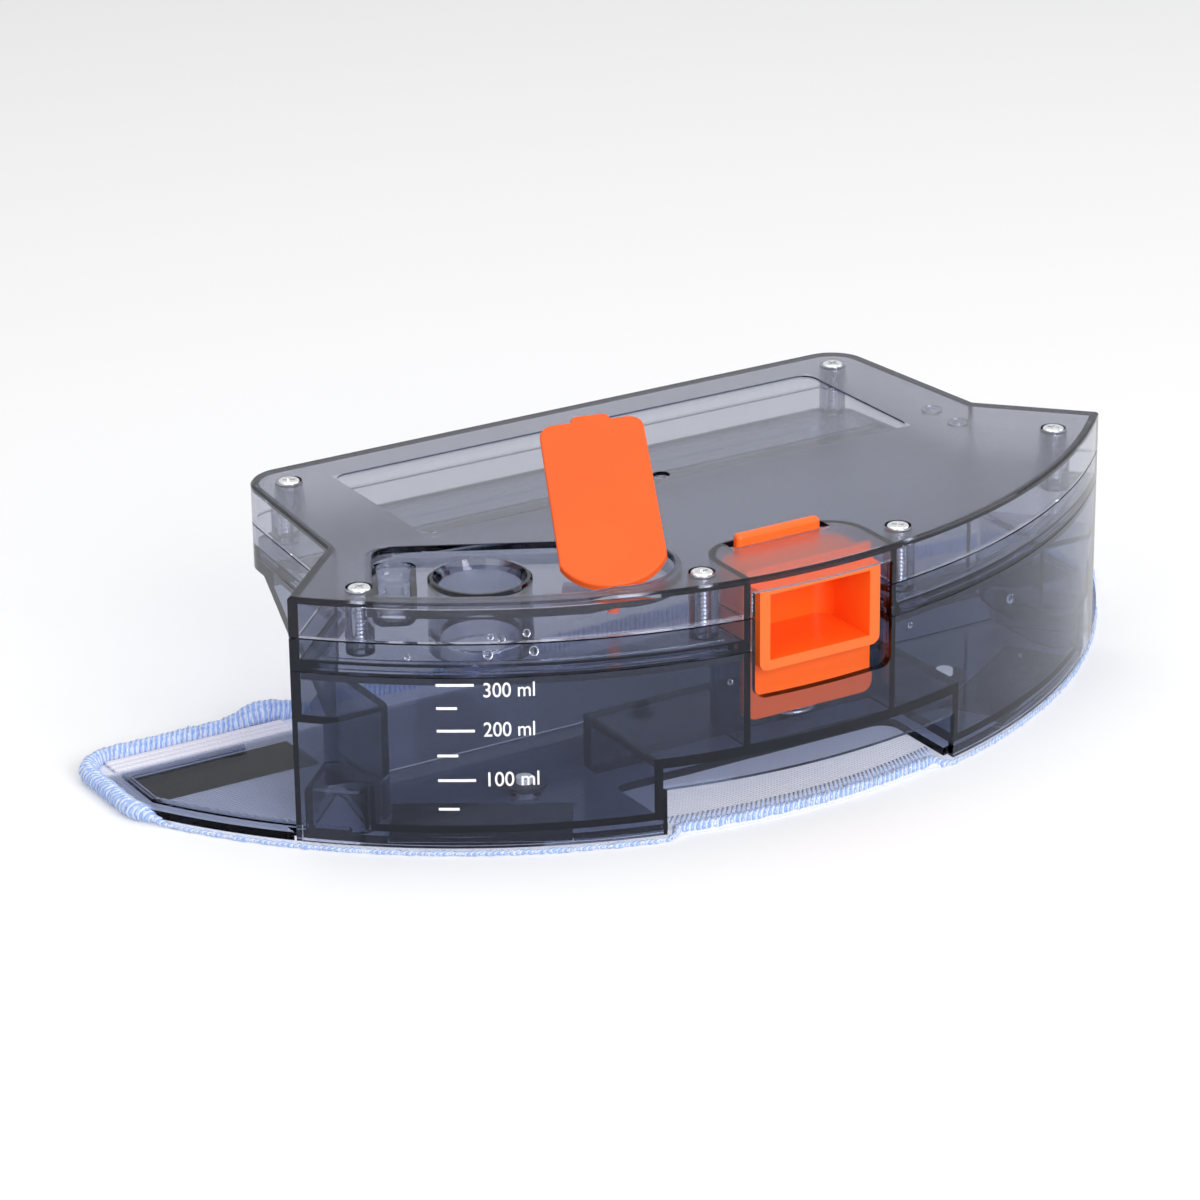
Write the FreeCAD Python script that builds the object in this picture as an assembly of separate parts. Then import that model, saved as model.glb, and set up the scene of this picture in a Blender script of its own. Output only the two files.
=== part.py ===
# Clear water tank of a robot vacuum cleaner, with its snap latch, filler flap, mop plate
# and mop cloth. Millimetres. X runs across the machine, -Y is the curved front wall and +Z
# is up. The origin is on the floor, under the middle of the whole object.
import FreeCAD, Part
import math
import os

from FreeCAD import Vector

# Overall shape of the tank, seen from above
FRONT_RADIUS = 170.0          # the machine is a round of this radius, and the front wall follows it
ARC_CENTRE_Y = 104.0          # centre of that round
TIP_X = 122.3                 # where the front wall ends, each side
CORNER_X = 98.6               # inside corner of each flank
CORNER_Y = 10.4
REAR_X = 94.4
REAR_Y = 67.5
REAR_CORNER_RADIUS = 10.0
FLANK_SPREAD = 0.3
WALL = 2.2
FAR = 200.0                   # past every face, for cutting tools
PAST = 1.0                    # how far a tool or a joined piece runs past a face

# Heights
CLOTH_THICK = 2.2
TANK_BASE = CLOTH_THICK
TANK_HEIGHT = 65.0
LID_TOP = TANK_BASE + TANK_HEIGHT
UPPER_SEAM = LID_TOP - 10.7   # between the top cover and the middle frame
LOWER_SEAM = LID_TOP - 19.6   # between the middle frame and the tub
SEAM_GAP = 0.2
LID_THICK = 2.2
LID_CHAMFER = 0.6
FRAME_DECK = 2.8              # thickness of the plate that closes the tub
FRAME_LEDGE = 4.0
TONGUE_GAP = 1.0              # the gasket's room between the tub's wall and the frame's tongue
TONGUE_THICK = 1.6
TONGUE_DEEP = 2.8
GASKET_DEEP = 2.4
TUB_UNDERSIDE = TANK_BASE + 3.6
TUB_FLOOR = 2.0
RAMP_LOW_Y = -0.3             # the tub's underside climbs from here to the rear
RAMP_HIGH_Y = 53.0
RAMP_HIGH = TANK_BASE + 42.0
CHAMBER_REAR_Y = 48.0
RAMP_FLOOR = 2.4
OUTLET = (64.0, -26.0)
OUTLET_RADIUS = 4.0
WICK_RADIUS = 2.15
WICK_PROUD = 2.5
SEAL_LIP = 1.0
SEAL_FLANGE = 1.4

# Notch in the foot of the front wall, over the mop cloth
NOTCH_HALF = 43.2
NOTCH_TOP = TANK_BASE + 17.3
NOTCH_REAR_Y = -26.0
LIP_BOTTOM = TANK_BASE + 12.0

# Hollow foot in each tip, where the mop plate's catch stands
FOOT_INNER_X = 100.2
FOOT_TOP = TANK_BASE + 15.2
FOOT_WALL = 1.8
FOOT_SKIN = 1.2
FOOT_CORNER = 7.0
SOCKET_FRONT_Y = -18.6        # behind this the foot's hollow rises to the machine's side hook
SOCKET_TOP = TANK_BASE + 31.8

# Latch well, window and button
WELL_HALF = 22.4
WELL_REAR_Y = -39.0
WELL_CORNER = 11.0
WELL_WALL = 1.8
WELL_FLOOR = TANK_BASE + 20.0
WINDOW_HALF = 20.3
WINDOW_BOTTOM = TANK_BASE + 32.6
WINDOW_TOP = TANK_BASE + 60.7
WINDOW_CORNER = 3.0
WINDOW_REACH = 9.0            # how far behind the button's mouth the window is cut
BOX_HALF = 17.8
BOX_FRONT_Y = -63.2
BOX_REAR_Y = -41.8
BOX_BOTTOM = TANK_BASE + 38.7
BOX_TOP = WINDOW_TOP - 0.4
BOX_CORNER = 2.4
BOX_REAR_WALL = 1.6
BOX_WALL = 3.0
BOX_FLOOR = 2.6
BOX_REAR_CORNER = 6.0
FLANGE_TOP = LID_TOP - LID_THICK - 0.6
FLANGE_CORNER = 3.0
PLATE_HALF = 18.6
PLATE_FRONT_Y = -57.8
PLATE_THICK = 1.6
PLATE_BOTTOM = WELL_FLOOR + 4.0
TAB_HALF = 12.4
TAB_MID_Y = -43.4
TAB_THICK = 3.0
TAB_PROUD = 2.6
TAB_ROUND = 1.2
SLOT_GAP = 0.7
SLOT_END_GAP = 2.2
SPRING_Y = -49.5
SPRING_RADIUS = 5.6
SPRING_WIRE = 0.6
SPRING_TURNS = 6
PEG_RADIUS = 3.4
PEG_LONG = 6.0
POST_TALL = 2.9

# Screws
REAR_SCREW = (84.6, 57.4)
TIP_SCREW = (104.5, -17.8)
LATCH_SCREW = (29.1, -54.4)
BOSS_RADIUS = 3.6
SCREW_HEAD_RADIUS = 2.9
SCREW_SHANK_RADIUS = 1.25
SCREW_LENGTH = 13.0
SCREW_HEAD_TALL = 1.5
SCREW_HEAD_ROUND = 0.7
CROSS_HALF = (1.5, 0.35)
CROSS_DEEP = 0.8
COUNTERBORE_RADIUS = 3.4
COUNTERBORE_DEPTH = 1.3
LID_BOSSES = ((87.0, 13.2), (87.0, 1.1))
LID_BOSS_RADII = (2.8, 1.5)
LID_BOSS_TALL = 0.6
PANEL_HALF = 74.0             # shallow panel in the lid's top, behind the filler recess
PANEL_Y = (4.3, 54.0)
PANEL_DEEP = 0.5
PANEL_CORNER = 4.0
GATE_PLACE = (-0.9, 9.7)      # round mark where the lid's mould is filled
GATE_RADIUS = 2.3
GATE_DEEP = 1.0
GATE_PIP_RADIUS = 0.8
VALVE_PLACE = (0.0, 22.0)
VALVE_STEM_RADIUS = 1.55
VALVE_CAP_RADIUS = 3.6
VALVE_CAP_TALL = 1.2
VALVE_BARB_RADIUS = 2.2
VALVE_FOOT = 1.6

# Filler recess in the lid. Its length runs along the front wall, so it is drawn on two
# axes of its own: U to the left along the wall, V towards the rear
RECESS_TURN = math.radians(152.1)
RECESS_ORIGIN = (-45.6, -40.5)
RECESS_LEFT_U = 59.5
RECESS_REAR_V = 18.8
RECESS_FRONT_V = -17.3
RECESS_CORNER = 6.0
RECESS_DEPTH = 3.0
RECESS_WALL = 1.6
RECESS_FLOOR = 1.8
RECESS_NARROW_U = 12.0
RECESS_EDGE_RADIUS = 165.6
STEM_U = 0.4
STEM_V = 3.2
RECESS_END_RADIUS = 15.6
NECK_U = 33.0
NECK_V = 3.4
NECK_RADIUS = 13.0
NECK_BORE = 10.3
NECK_RIM_RADIUS = 12.5
NECK_RIM_RISE = 0.6
NECK_RIM_FLAT = 0.8
NECK_BOTTOM = LOWER_SEAM - 2.6
TROUGH_U = (50.0, 58.4)
TROUGH_V = (-12.0, 15.6)
TROUGH_DEPTH = 4.6
TROUGH_WALL = 1.4
TROUGH_ROUND = 3.0
NECK_CHAMFER = 2.4

# Filler flap, standing open as it is left after filling
FLAP_HALF = 13.25
FLAP_END_RADIUS = 14.0
FLAP_REACH = 47.5
FLAP_THICK = 2.0
FLAP_CORNER = 4.0
FLAP_TAB_HALF = 5.0
FLAP_TAB_OUT = 2.2
FLAP_TAB_ROUND = 1.8
FLAP_YAW = 65.4
FLAP_RISE = 21.0
FLAP_TWIST = 5.7
PIVOT_ABOVE_LID = 1.3
PIVOT_TO_FLAP = 3.0
PIN_RADIUS = 1.5
PIN_HALF = 5.2
RUNNING_GAP = 0.06
STEM_RADIUS = 1.9
STEM_COLLAR_RADIUS = 3.4
STEM_BARB_RADIUS = 2.9
STEM_TAIL_RADIUS = 1.5
STEM_TAIL = 9.6
STEM_CONE = 3.4
STEM_STEP = 1.2
EYE_RADIUS = 2.6
EYE_GAP = 0.8
FLAP_EDGE = 0.6
PLUG_RADIUS = 9.8
PLUG_WALL = 1.8
PLUG_DEEP = 3.2
PLUG_TAPER = 0.6
BEAD_RADIUS = 0.6
BEAD_DROP = 1.8

# Mop plate and mop cloth
PLATE_HALF_SPAN = 148.0
MOP_PLATE_REAR_Y = 42.5
MOP_PLATE_THICK = 2.2
BORDER_RIB = 1.1
BORDER_INSET = (3.4, 4.8)
BORDER_NEAR_X = 110.0
PLATE_SKIRT_GAP = 0.4
CATCH_GAP = 0.8
CATCH_WALL = 1.6
CATCH_HEADROOM = 2.0
CUTOUT_REAR_Y = -32.0
CUTOUT_SIDE_GAP = 1.5
CUTOUT_CORNER = 5.0
CLOTH_HALF_SPAN = 151.5
CLOTH_REAR_Y = 59.5
CLOTH_CORNER = 12.0
CLOTH_OVERHANG = 1.5
EDGING_WIDE = 4.0
EDGING_LOW = 0.3
EDGING_TALL = 3.6
EDGING_FRONT_TOP = CLOTH_THICK + 0.2
EDGING_TALL_FROM_Y = 24.0
TOUCH_GAP = 0.05
BAND_WIDE = 8.0
BAND_THICK = 1.2
BAND_FAR_X = 143.0
BAND_NEAR_X = 92.0
BAND_RIBS = 5
BAND_GROOVE = 0.35
STRIP_LONG = 45.0
STRIP_WIDE = 16.0
STRIP_THICK = 0.8
STRIP_FRONT = (79.4, -31.4)
STRIP_TURN = 32.0
STRIP_WING_X = (98.0, 142.8)
STRIP_WING_Y = (22.5, 38.5)
STRIP_GAP = 0.3


def front_arc(radius, half_x, z=0.0):
    """Arc of the round front between -half_x and +half_x, as three points."""
    end_y = ARC_CENTRE_Y - math.sqrt(radius ** 2 - half_x ** 2)
    middle = Vector(0, ARC_CENTRE_Y - radius, z)
    return Part.Arc(Vector(-half_x, end_y, z), middle, Vector(half_x, end_y, z)).toShape()


def tank_face():
    """Outline of the tank seen from above: curved front, stepped flanks, straight rear."""
    tip_y = ARC_CENTRE_Y - math.sqrt(FRONT_RADIUS ** 2 - TIP_X ** 2)
    r = REAR_CORNER_RADIUS
    near = r * (1 - math.sqrt(0.5))
    edges = [front_arc(FRONT_RADIUS, TIP_X)]
    for side in (1, -1):
        tip = Vector(side * TIP_X, tip_y, 0)
        corner = Vector(side * CORNER_X, CORNER_Y, 0)
        flank_end = Vector(side * (REAR_X + FLANK_SPREAD), REAR_Y - r, 0)
        rear_end = Vector(side * (REAR_X - r), REAR_Y, 0)
        middle = Vector(side * (REAR_X - near), REAR_Y - near, 0)
        edges.append(Part.makeLine(tip, corner))
        edges.append(Part.makeLine(corner, flank_end))
        edges.append(Part.Arc(flank_end, middle, rear_end).toShape())
    edges.append(Part.makeLine(Vector(REAR_X - r, REAR_Y, 0), Vector(r - REAR_X, REAR_Y, 0)))
    return Part.Face(Part.Wire(Part.__sortEdges__(edges)))


def inset(face, distance):
    """The face with its outline moved inwards."""
    return face.makeOffset2D(-distance, 1, False, False, False) if distance else face


def prism(face, low, high):
    """The face, drawn at height zero, as a solid between two heights."""
    lifted = face.copy()
    lifted.translate(Vector(0, 0, low))
    return lifted.extrude(Vector(0, 0, high - low))


def block(x, y, z):
    """Box between the pairs of limits x, y and z."""
    size = [limits[1] - limits[0] for limits in (x, y, z)]
    return Part.makeBox(size[0], size[1], size[2], Vector(x[0], y[0], z[0]))


def tube(outer, inner, low, high, x, y):
    solid = Part.makeCylinder(outer, high - low, Vector(x, y, low))
    if inner:
        solid = solid.cut(Part.makeCylinder(inner, high - low + 2 * PAST, Vector(x, y, low - PAST)))
    return solid


def both_sides(point):
    """A place on the right and its mirror image on the left."""
    return [point, (-point[0], point[1])]


def screw_places():
    return both_sides(REAR_SCREW) + both_sides(TIP_SCREW) + both_sides(LATCH_SCREW)


def vertical_edges(solid, low, high):
    """Edges that run up the solid between two heights."""
    found = []
    for edge in solid.Edges:
        first = edge.Vertexes[0].Point
        last = edge.Vertexes[-1].Point
        upright = abs(first.x - last.x) < 1e-6 and abs(first.y - last.y) < 1e-6
        if upright and min(first.z, last.z) < low + 0.1 and max(first.z, last.z) > high - 0.1:
            found.append(edge)
    return found


def recess_point(u, v, z=0.0):
    """A place in the filler recess, from its own two axes."""
    along = Vector(math.cos(RECESS_TURN), math.sin(RECESS_TURN), 0)
    across = Vector(math.sin(RECESS_TURN), -math.cos(RECESS_TURN), 0)
    start = Vector(RECESS_ORIGIN[0], RECESS_ORIGIN[1], z)
    return start + along * u + across * v


def recess_face(grow=0.0):
    """Outline of the filler recess, with its wall's thickness added by grow."""
    left = RECESS_LEFT_U + grow
    rear = RECESS_REAR_V + grow
    front = RECESS_FRONT_V - grow
    r = RECESS_CORNER
    near = r * (1 - math.sqrt(0.5))
    end = RECESS_END_RADIUS + grow
    point = recess_point
    edges = [
        Part.makeLine(point(STEM_U, STEM_V + end), point(left - r, rear)),
        Part.Arc(point(left - r, rear), point(left - near, rear - near), point(left, rear - r)).toShape(),
        Part.makeLine(point(left, rear - r), point(left, front + r)),
        Part.Arc(point(left, front + r), point(left - near, front + near), point(left - r, front)).toShape(),
        Part.makeLine(point(left - r, front), point(RECESS_NARROW_U, front)),
        Part.makeLine(point(RECESS_NARROW_U, front), point(STEM_U, STEM_V - end)),
        Part.Arc(point(STEM_U, STEM_V - end), point(STEM_U - end, STEM_V), point(STEM_U, STEM_V + end)).toShape(),
    ]
    face = Part.Face(Part.Wire(edges))
    inside = Part.makeCircle(RECESS_EDGE_RADIUS + grow, Vector(0, ARC_CENTRE_Y, 0))
    return face.common(Part.Face(Part.Wire([inside]))).Faces[0]


def well_block(half, rear_y, corner, low, high):
    """Solid of the latch well's plan, from outside the front wall to its rounded rear."""
    solid = block((-half, half), (-ARC_CENTRE_Y, rear_y), (low, high))
    rear = [edge for edge in vertical_edges(solid, low, high) if edge.Vertexes[0].Point.y > rear_y - 1]
    return solid.makeFillet(corner, rear)


def well_wall(low, high):
    """The well's U-shaped wall between two heights."""
    outer = well_block(WELL_HALF, WELL_REAR_Y, WELL_CORNER, low, high)
    inner = well_block(WELL_HALF - WELL_WALL, WELL_REAR_Y - WELL_WALL, WELL_CORNER - WELL_WALL, low - 1, high + 1)
    return outer.cut(inner).common(prism(tank_face(), low, high))


def latch_window():
    """The cut through the front wall that the button's mouth shows in."""
    rear_y = BOX_FRONT_Y + WINDOW_REACH
    cut = block((-WINDOW_HALF, WINDOW_HALF), (-ARC_CENTRE_Y, rear_y), (WINDOW_BOTTOM, WINDOW_TOP))
    across = [edge for edge in cut.Edges if edge.BoundBox.YLength > 40 and edge.BoundBox.ZMax < WINDOW_BOTTOM + 1]
    return cut.makeFillet(WINDOW_CORNER, across)


def well_room(low, high):
    """Free space inside the well, behind the front wall."""
    room = well_block(WELL_HALF - WELL_WALL, WELL_REAR_Y - WELL_WALL, WELL_CORNER - WELL_WALL, low, high)
    return room.common(prism(inset(tank_face(), WALL), low, high))


def under_ramp(raise_by):
    """Wedge under the tub's climbing rear, with the tub's floor thickness added by raise_by."""
    low_z = TUB_UNDERSIDE + raise_by
    high_z = RAMP_HIGH + raise_by
    points = [
        Vector(-FAR, RAMP_LOW_Y, low_z), Vector(-FAR, RAMP_HIGH_Y, high_z), Vector(-FAR, FAR, high_z),
        Vector(-FAR, FAR, -FAR), Vector(-FAR, RAMP_LOW_Y, -FAR), Vector(-FAR, RAMP_LOW_Y, low_z),
    ]
    return Part.Face(Part.makePolygon(points)).extrude(Vector(2 * FAR, 0, 0))


def corner_foot(side, shrink, low, high):
    """Solid of the hollow foot inside each tip, with a round corner behind the front wall."""
    tip = prism(inset(tank_face(), FOOT_SKIN + shrink), low, high)
    inner_x = FOOT_INNER_X + shrink
    foot = tip.common(block(sorted((side * inner_x, side * FAR)), (-FAR, FAR), (low - PAST, high + PAST)))
    front_inner = [
        edge for edge in vertical_edges(foot, low, high)
        if abs(edge.Vertexes[0].Point.x - side * inner_x) < PAST and edge.Vertexes[0].Point.y < SOCKET_FRONT_Y]
    return foot.makeFillet(FOOT_CORNER - shrink, front_inner)


def hook_socket(side, shrink, high):
    """The taller rear part of a foot's hollow."""
    room = block((-FAR, FAR), (SOCKET_FRONT_Y + shrink, FAR), (0, high))
    return corner_foot(side, shrink, 0, high).common(room)


def outlet_places():
    """Where water leaves the tub's floor, on the right and on the left."""
    return both_sides(OUTLET)


def front_disc(inward, low, high):
    """Upright cylinder inside the front wall."""
    return Part.makeCylinder(FRONT_RADIUS - inward, high - low, Vector(0, ARC_CENTRE_Y, low))


def lower_tub():
    """Clear lower shell: front skirt, ramped underside, water chambers, latch well."""
    outline = tank_face()
    tub = prism(outline, TUB_UNDERSIDE, LOWER_SEAM)
    skirt = prism(outline, TANK_BASE, TUB_UNDERSIDE + PAST)
    skirt = skirt.cut(front_disc(WALL, 0, TUB_UNDERSIDE + 2 * PAST))
    tub = tub.fuse(skirt).cut(under_ramp(0))
    chamber = prism(inset(outline, WALL), TUB_UNDERSIDE + TUB_FLOOR, LOWER_SEAM + PAST)
    chamber = chamber.cut(under_ramp(RAMP_FLOOR)).common(block((-FAR, FAR), (-FAR, CHAMBER_REAR_Y), (0, FAR)))
    over_notch = block(
        (-NOTCH_HALF - WALL, NOTCH_HALF + WALL), (-ARC_CENTRE_Y, NOTCH_REAR_Y + WALL), (0, WELL_FLOOR))
    kept = over_notch.fuse(well_block(WELL_HALF, WELL_REAR_Y, WELL_CORNER, 0, LOWER_SEAM + 2 * PAST))
    for side in (1, -1):
        kept = kept.fuse(corner_foot(side, -FOOT_WALL, 0, FOOT_TOP + FOOT_WALL))
        kept = kept.fuse(hook_socket(side, -FOOT_WALL, SOCKET_TOP + FOOT_WALL))
    tub = tub.cut(chamber.cut(kept))
    notch = block((-NOTCH_HALF, NOTCH_HALF), (-ARC_CENTRE_Y, NOTCH_REAR_Y), (0, NOTCH_TOP))
    mouth = block((-NOTCH_HALF, NOTCH_HALF), (-ARC_CENTRE_Y, NOTCH_REAR_Y), (0, LIP_BOTTOM))
    tub = tub.cut(notch.common(front_disc(WALL, 0, FAR))).cut(mouth)
    tub = tub.cut(well_room(WELL_FLOOR, LOWER_SEAM + PAST)).cut(latch_window())
    for side in (1, -1):
        tub = tub.cut(corner_foot(side, 0, 0, FOOT_TOP)).cut(hook_socket(side, 0, SOCKET_TOP))
    for x, y in outlet_places():
        tub = tub.cut(Part.makeCylinder(OUTLET_RADIUS, 2 * TUB_UNDERSIDE, Vector(x, y, 0)))
    post = Part.makeCylinder(PEG_RADIUS, POST_TALL + PAST, Vector(0, SPRING_Y, WELL_FLOOR - PAST))
    return tub.fuse(post).removeSplitter()


def chamber_face(distance):
    """Outline of the water chamber around the latch well, moved inwards."""
    outline = inset(tank_face(), WALL + distance)
    well = well_block(WELL_HALF + distance, WELL_REAR_Y + distance, WELL_CORNER + distance, -1, 1)
    behind = block((-FAR, FAR), (CHAMBER_REAR_Y - distance, FAR), (-1, 1))
    return outline.cut(well.fuse(behind)).Faces[0]


def middle_frame():
    """Clear middle layer: a rim wall, the plate that closes the tub, and the screw posts."""
    outline = tank_face()
    low = LOWER_SEAM + SEAM_GAP
    high = UPPER_SEAM - SEAM_GAP
    deck = low + FRAME_DECK
    frame = prism(outline, low, high).cut(prism(inset(outline, WALL), deck, high + PAST))
    frame = frame.cut(prism(inset(outline, WALL + FRAME_LEDGE), low - PAST, low + PAST))
    tongue = prism(chamber_face(TONGUE_GAP), low - TONGUE_DEEP, low + PAST)
    tongue = tongue.cut(prism(chamber_face(TONGUE_GAP + TONGUE_THICK), low - FAR, low + FAR))
    frame = frame.fuse(tongue).cut(well_room(low - TONGUE_DEEP - PAST, high + PAST)).fuse(well_wall(low, high))
    top = LID_TOP - LID_THICK - TOUCH_GAP
    for x, y in screw_places():
        frame = frame.fuse(tube(BOSS_RADIUS, 0, low + PAST, top, x, y))
    for x, y in screw_places():
        frame = frame.cut(Part.makeCylinder(SCREW_SHANK_RADIUS + TOUCH_GAP, top, Vector(x, y, deck)))
    neck = recess_point(NECK_U, NECK_V)
    frame = frame.cut(Part.makeCylinder(NECK_RADIUS + SEAM_GAP, LID_TOP, Vector(neck.x, neck.y, NECK_BOTTOM)))
    valve_x, valve_y = VALVE_PLACE
    valve_hole = Part.makeCylinder(VALVE_STEM_RADIUS + TOUCH_GAP, LID_TOP, Vector(valve_x, valve_y, NECK_BOTTOM))
    floor = LID_TOP - RECESS_DEPTH
    tray = prism(recess_face(RECESS_WALL + TOUCH_GAP), floor - RECESS_FLOOR - TOUCH_GAP, LID_TOP)
    trough = trough_solid(TROUGH_WALL + TOUCH_GAP, floor)
    return frame.cut(tray).cut(trough).cut(latch_window()).cut(valve_hole).removeSplitter()


def tank_gasket():
    """Dark seal that the middle frame presses into the tub."""
    low = LOWER_SEAM - GASKET_DEEP
    high = LOWER_SEAM + SEAM_GAP - TOUCH_GAP
    inner = chamber_face(TONGUE_GAP - TOUCH_GAP)
    return prism(chamber_face(TOUCH_GAP), low, high).cut(prism(inner, low - PAST, high + PAST))


def filler_neck():
    """Cup under the recess: a bright chamfered rim, then a straight bore into the tank."""
    floor = LID_TOP - RECESS_DEPTH
    rim = floor + NECK_RIM_RISE
    points = [
        (NECK_BORE, NECK_BOTTOM), (NECK_RADIUS, NECK_BOTTOM), (NECK_RADIUS, floor),
        (NECK_RIM_RADIUS, rim), (NECK_RIM_RADIUS - NECK_RIM_FLAT, rim), (NECK_BORE, rim - NECK_CHAMFER),
    ]
    corners = [Vector(radius, 0, z) for radius, z in points]
    face = Part.Face(Part.makePolygon(corners + corners[:1]))
    neck = face.revolve(Vector(0, 0, 0), Vector(0, 0, 1), 360)
    neck.translate(recess_point(NECK_U, NECK_V))
    return neck


def trough_solid(grow, top):
    """Finger trough at the recess's left end, with a round bottom."""
    bottom = LID_TOP - RECESS_DEPTH - TROUGH_DEPTH - grow
    length = TROUGH_V[1] - TROUGH_V[0] + 2 * grow
    wide = TROUGH_U[1] - TROUGH_U[0] + 2 * grow
    solid = Part.makeBox(wide, length, top - bottom, Vector(TROUGH_U[0] - grow, TROUGH_V[0] - grow, bottom))
    low = [edge for edge in solid.Edges if edge.BoundBox.ZMax < bottom + PAST]
    upright = vertical_edges(solid, bottom, top)
    solid = solid.makeFillet(TROUGH_ROUND, low + upright)
    turned = solid.mirror(Vector(0, 0, 0), Vector(0, 1, 0))
    turned.rotate(Vector(0, 0, 0), Vector(0, 0, 1), math.degrees(RECESS_TURN))
    turned.translate(recess_point(0, 0))
    return turned


def top_cover():
    """Clear lid with its hanging rim, filler recess and neck, latch slot and top panel."""
    outline = tank_face()
    low = UPPER_SEAM + SEAM_GAP
    under = LID_TOP - LID_THICK
    lid = prism(outline, low, LID_TOP)
    rim_edges = [edge for edge in lid.Edges if edge.BoundBox.ZMin > LID_TOP - TOUCH_GAP]
    lid = lid.makeChamfer(LID_CHAMFER, rim_edges)
    lid = lid.cut(prism(inset(outline, WALL), low - PAST, under))
    floor = LID_TOP - RECESS_DEPTH
    tray = prism(recess_face(RECESS_WALL), floor - RECESS_FLOOR, under + PAST)
    trough = trough_solid(TROUGH_WALL, floor - RECESS_FLOOR / 2)
    lid = lid.fuse(tray).fuse(trough).fuse(well_wall(low, under + PAST))
    for x, y in LID_BOSSES:
        lid = lid.fuse(tube(LID_BOSS_RADII[0], LID_BOSS_RADII[1], under - LID_BOSS_TALL, under + PAST, x, y))
    neck = recess_point(NECK_U, NECK_V)
    lid = lid.cut(prism(recess_face(), floor, LID_TOP + PAST)).cut(trough_solid(0, LID_TOP + PAST))
    lid = lid.cut(Part.makeCylinder(NECK_RADIUS - PAST / 2, LID_TOP, Vector(neck.x, neck.y, NECK_BOTTOM)))
    lid = lid.fuse(filler_neck())
    stem = recess_point(STEM_U, STEM_V)
    lid = lid.cut(Part.makeCylinder(STEM_RADIUS + RUNNING_GAP, LID_TOP, Vector(stem.x, stem.y, low)))
    slot_x = TAB_HALF + SLOT_END_GAP
    slot_y = TAB_THICK / 2 + SLOT_GAP
    slot_ends = (TAB_MID_Y - slot_y, TAB_MID_Y + slot_y)
    lid = lid.cut(block((-slot_x, slot_x), slot_ends, (under - PAST, LID_TOP + PAST)))
    panel = block((-PANEL_HALF, PANEL_HALF), PANEL_Y, (LID_TOP - PANEL_DEEP, LID_TOP + PAST))
    corners = vertical_edges(panel, LID_TOP - PANEL_DEEP, LID_TOP + PAST)
    lid = lid.cut(panel.makeFillet(PANEL_CORNER, corners))
    gate_x, gate_y = GATE_PLACE
    gate_low = LID_TOP - PANEL_DEEP - GATE_DEEP
    lid = lid.cut(tube(GATE_RADIUS, GATE_PIP_RADIUS, gate_low, LID_TOP, gate_x, gate_y))
    lid = lid.cut(tube(GATE_RADIUS, 0, gate_low + GATE_DEEP / 2, LID_TOP, gate_x, gate_y))
    for x, y in screw_places():
        head_room = Part.makeCylinder(COUNTERBORE_RADIUS, LID_TOP, Vector(x, y, LID_TOP - COUNTERBORE_DEPTH))
        shank_room = Part.makeCylinder(SCREW_SHANK_RADIUS + SEAM_GAP, LID_TOP, Vector(x, y, low))
        lid = lid.cut(head_room).cut(shank_room)
    return lid.cut(latch_window()).removeSplitter()


def cover_screws():
    """Six pan-head screws with cross slots, as one group of separate solids."""
    screws = []
    head_low = LID_TOP - COUNTERBORE_DEPTH
    head_top = head_low + SCREW_HEAD_TALL
    slot_z = (head_top - CROSS_DEEP, head_top + PAST)
    long, narrow = CROSS_HALF
    for x, y in screw_places():
        head = Part.makeCylinder(SCREW_HEAD_RADIUS, SCREW_HEAD_TALL, Vector(x, y, head_low))
        crown = [edge for edge in head.Edges if edge.BoundBox.ZMin > head_top - TOUCH_GAP]
        head = head.makeFillet(SCREW_HEAD_ROUND, crown)
        shank = Part.makeCylinder(SCREW_SHANK_RADIUS, SCREW_LENGTH, Vector(x, y, head_low - SCREW_LENGTH))
        cross = block((x - long, x + long), (y - narrow, y + narrow), slot_z)
        cross = cross.fuse(block((x - narrow, x + narrow), (y - long, y + long), slot_z))
        screws.append(head.fuse(shank).removeSplitter().cut(cross))
    return Part.makeCompound(screws)


def rear_uprights(solid, low, high):
    """The two upright edges behind the button's flange."""
    return [edge for edge in vertical_edges(solid, low, high) if edge.Vertexes[0].Point.y > PLATE_FRONT_Y]


def finger_room():
    """The hollow that a finger presses down in."""
    x = BOX_HALF - BOX_WALL
    rear_y = BOX_REAR_Y - BOX_REAR_WALL
    low = BOX_BOTTOM + BOX_FLOOR
    high = BOX_TOP - BOX_REAR_WALL
    room = block((-x, x), (BOX_FRONT_Y - PAST, rear_y), (low, high))
    return room.makeFillet(BOX_REAR_CORNER - BOX_REAR_WALL, rear_uprights(room, low, high))


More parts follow.
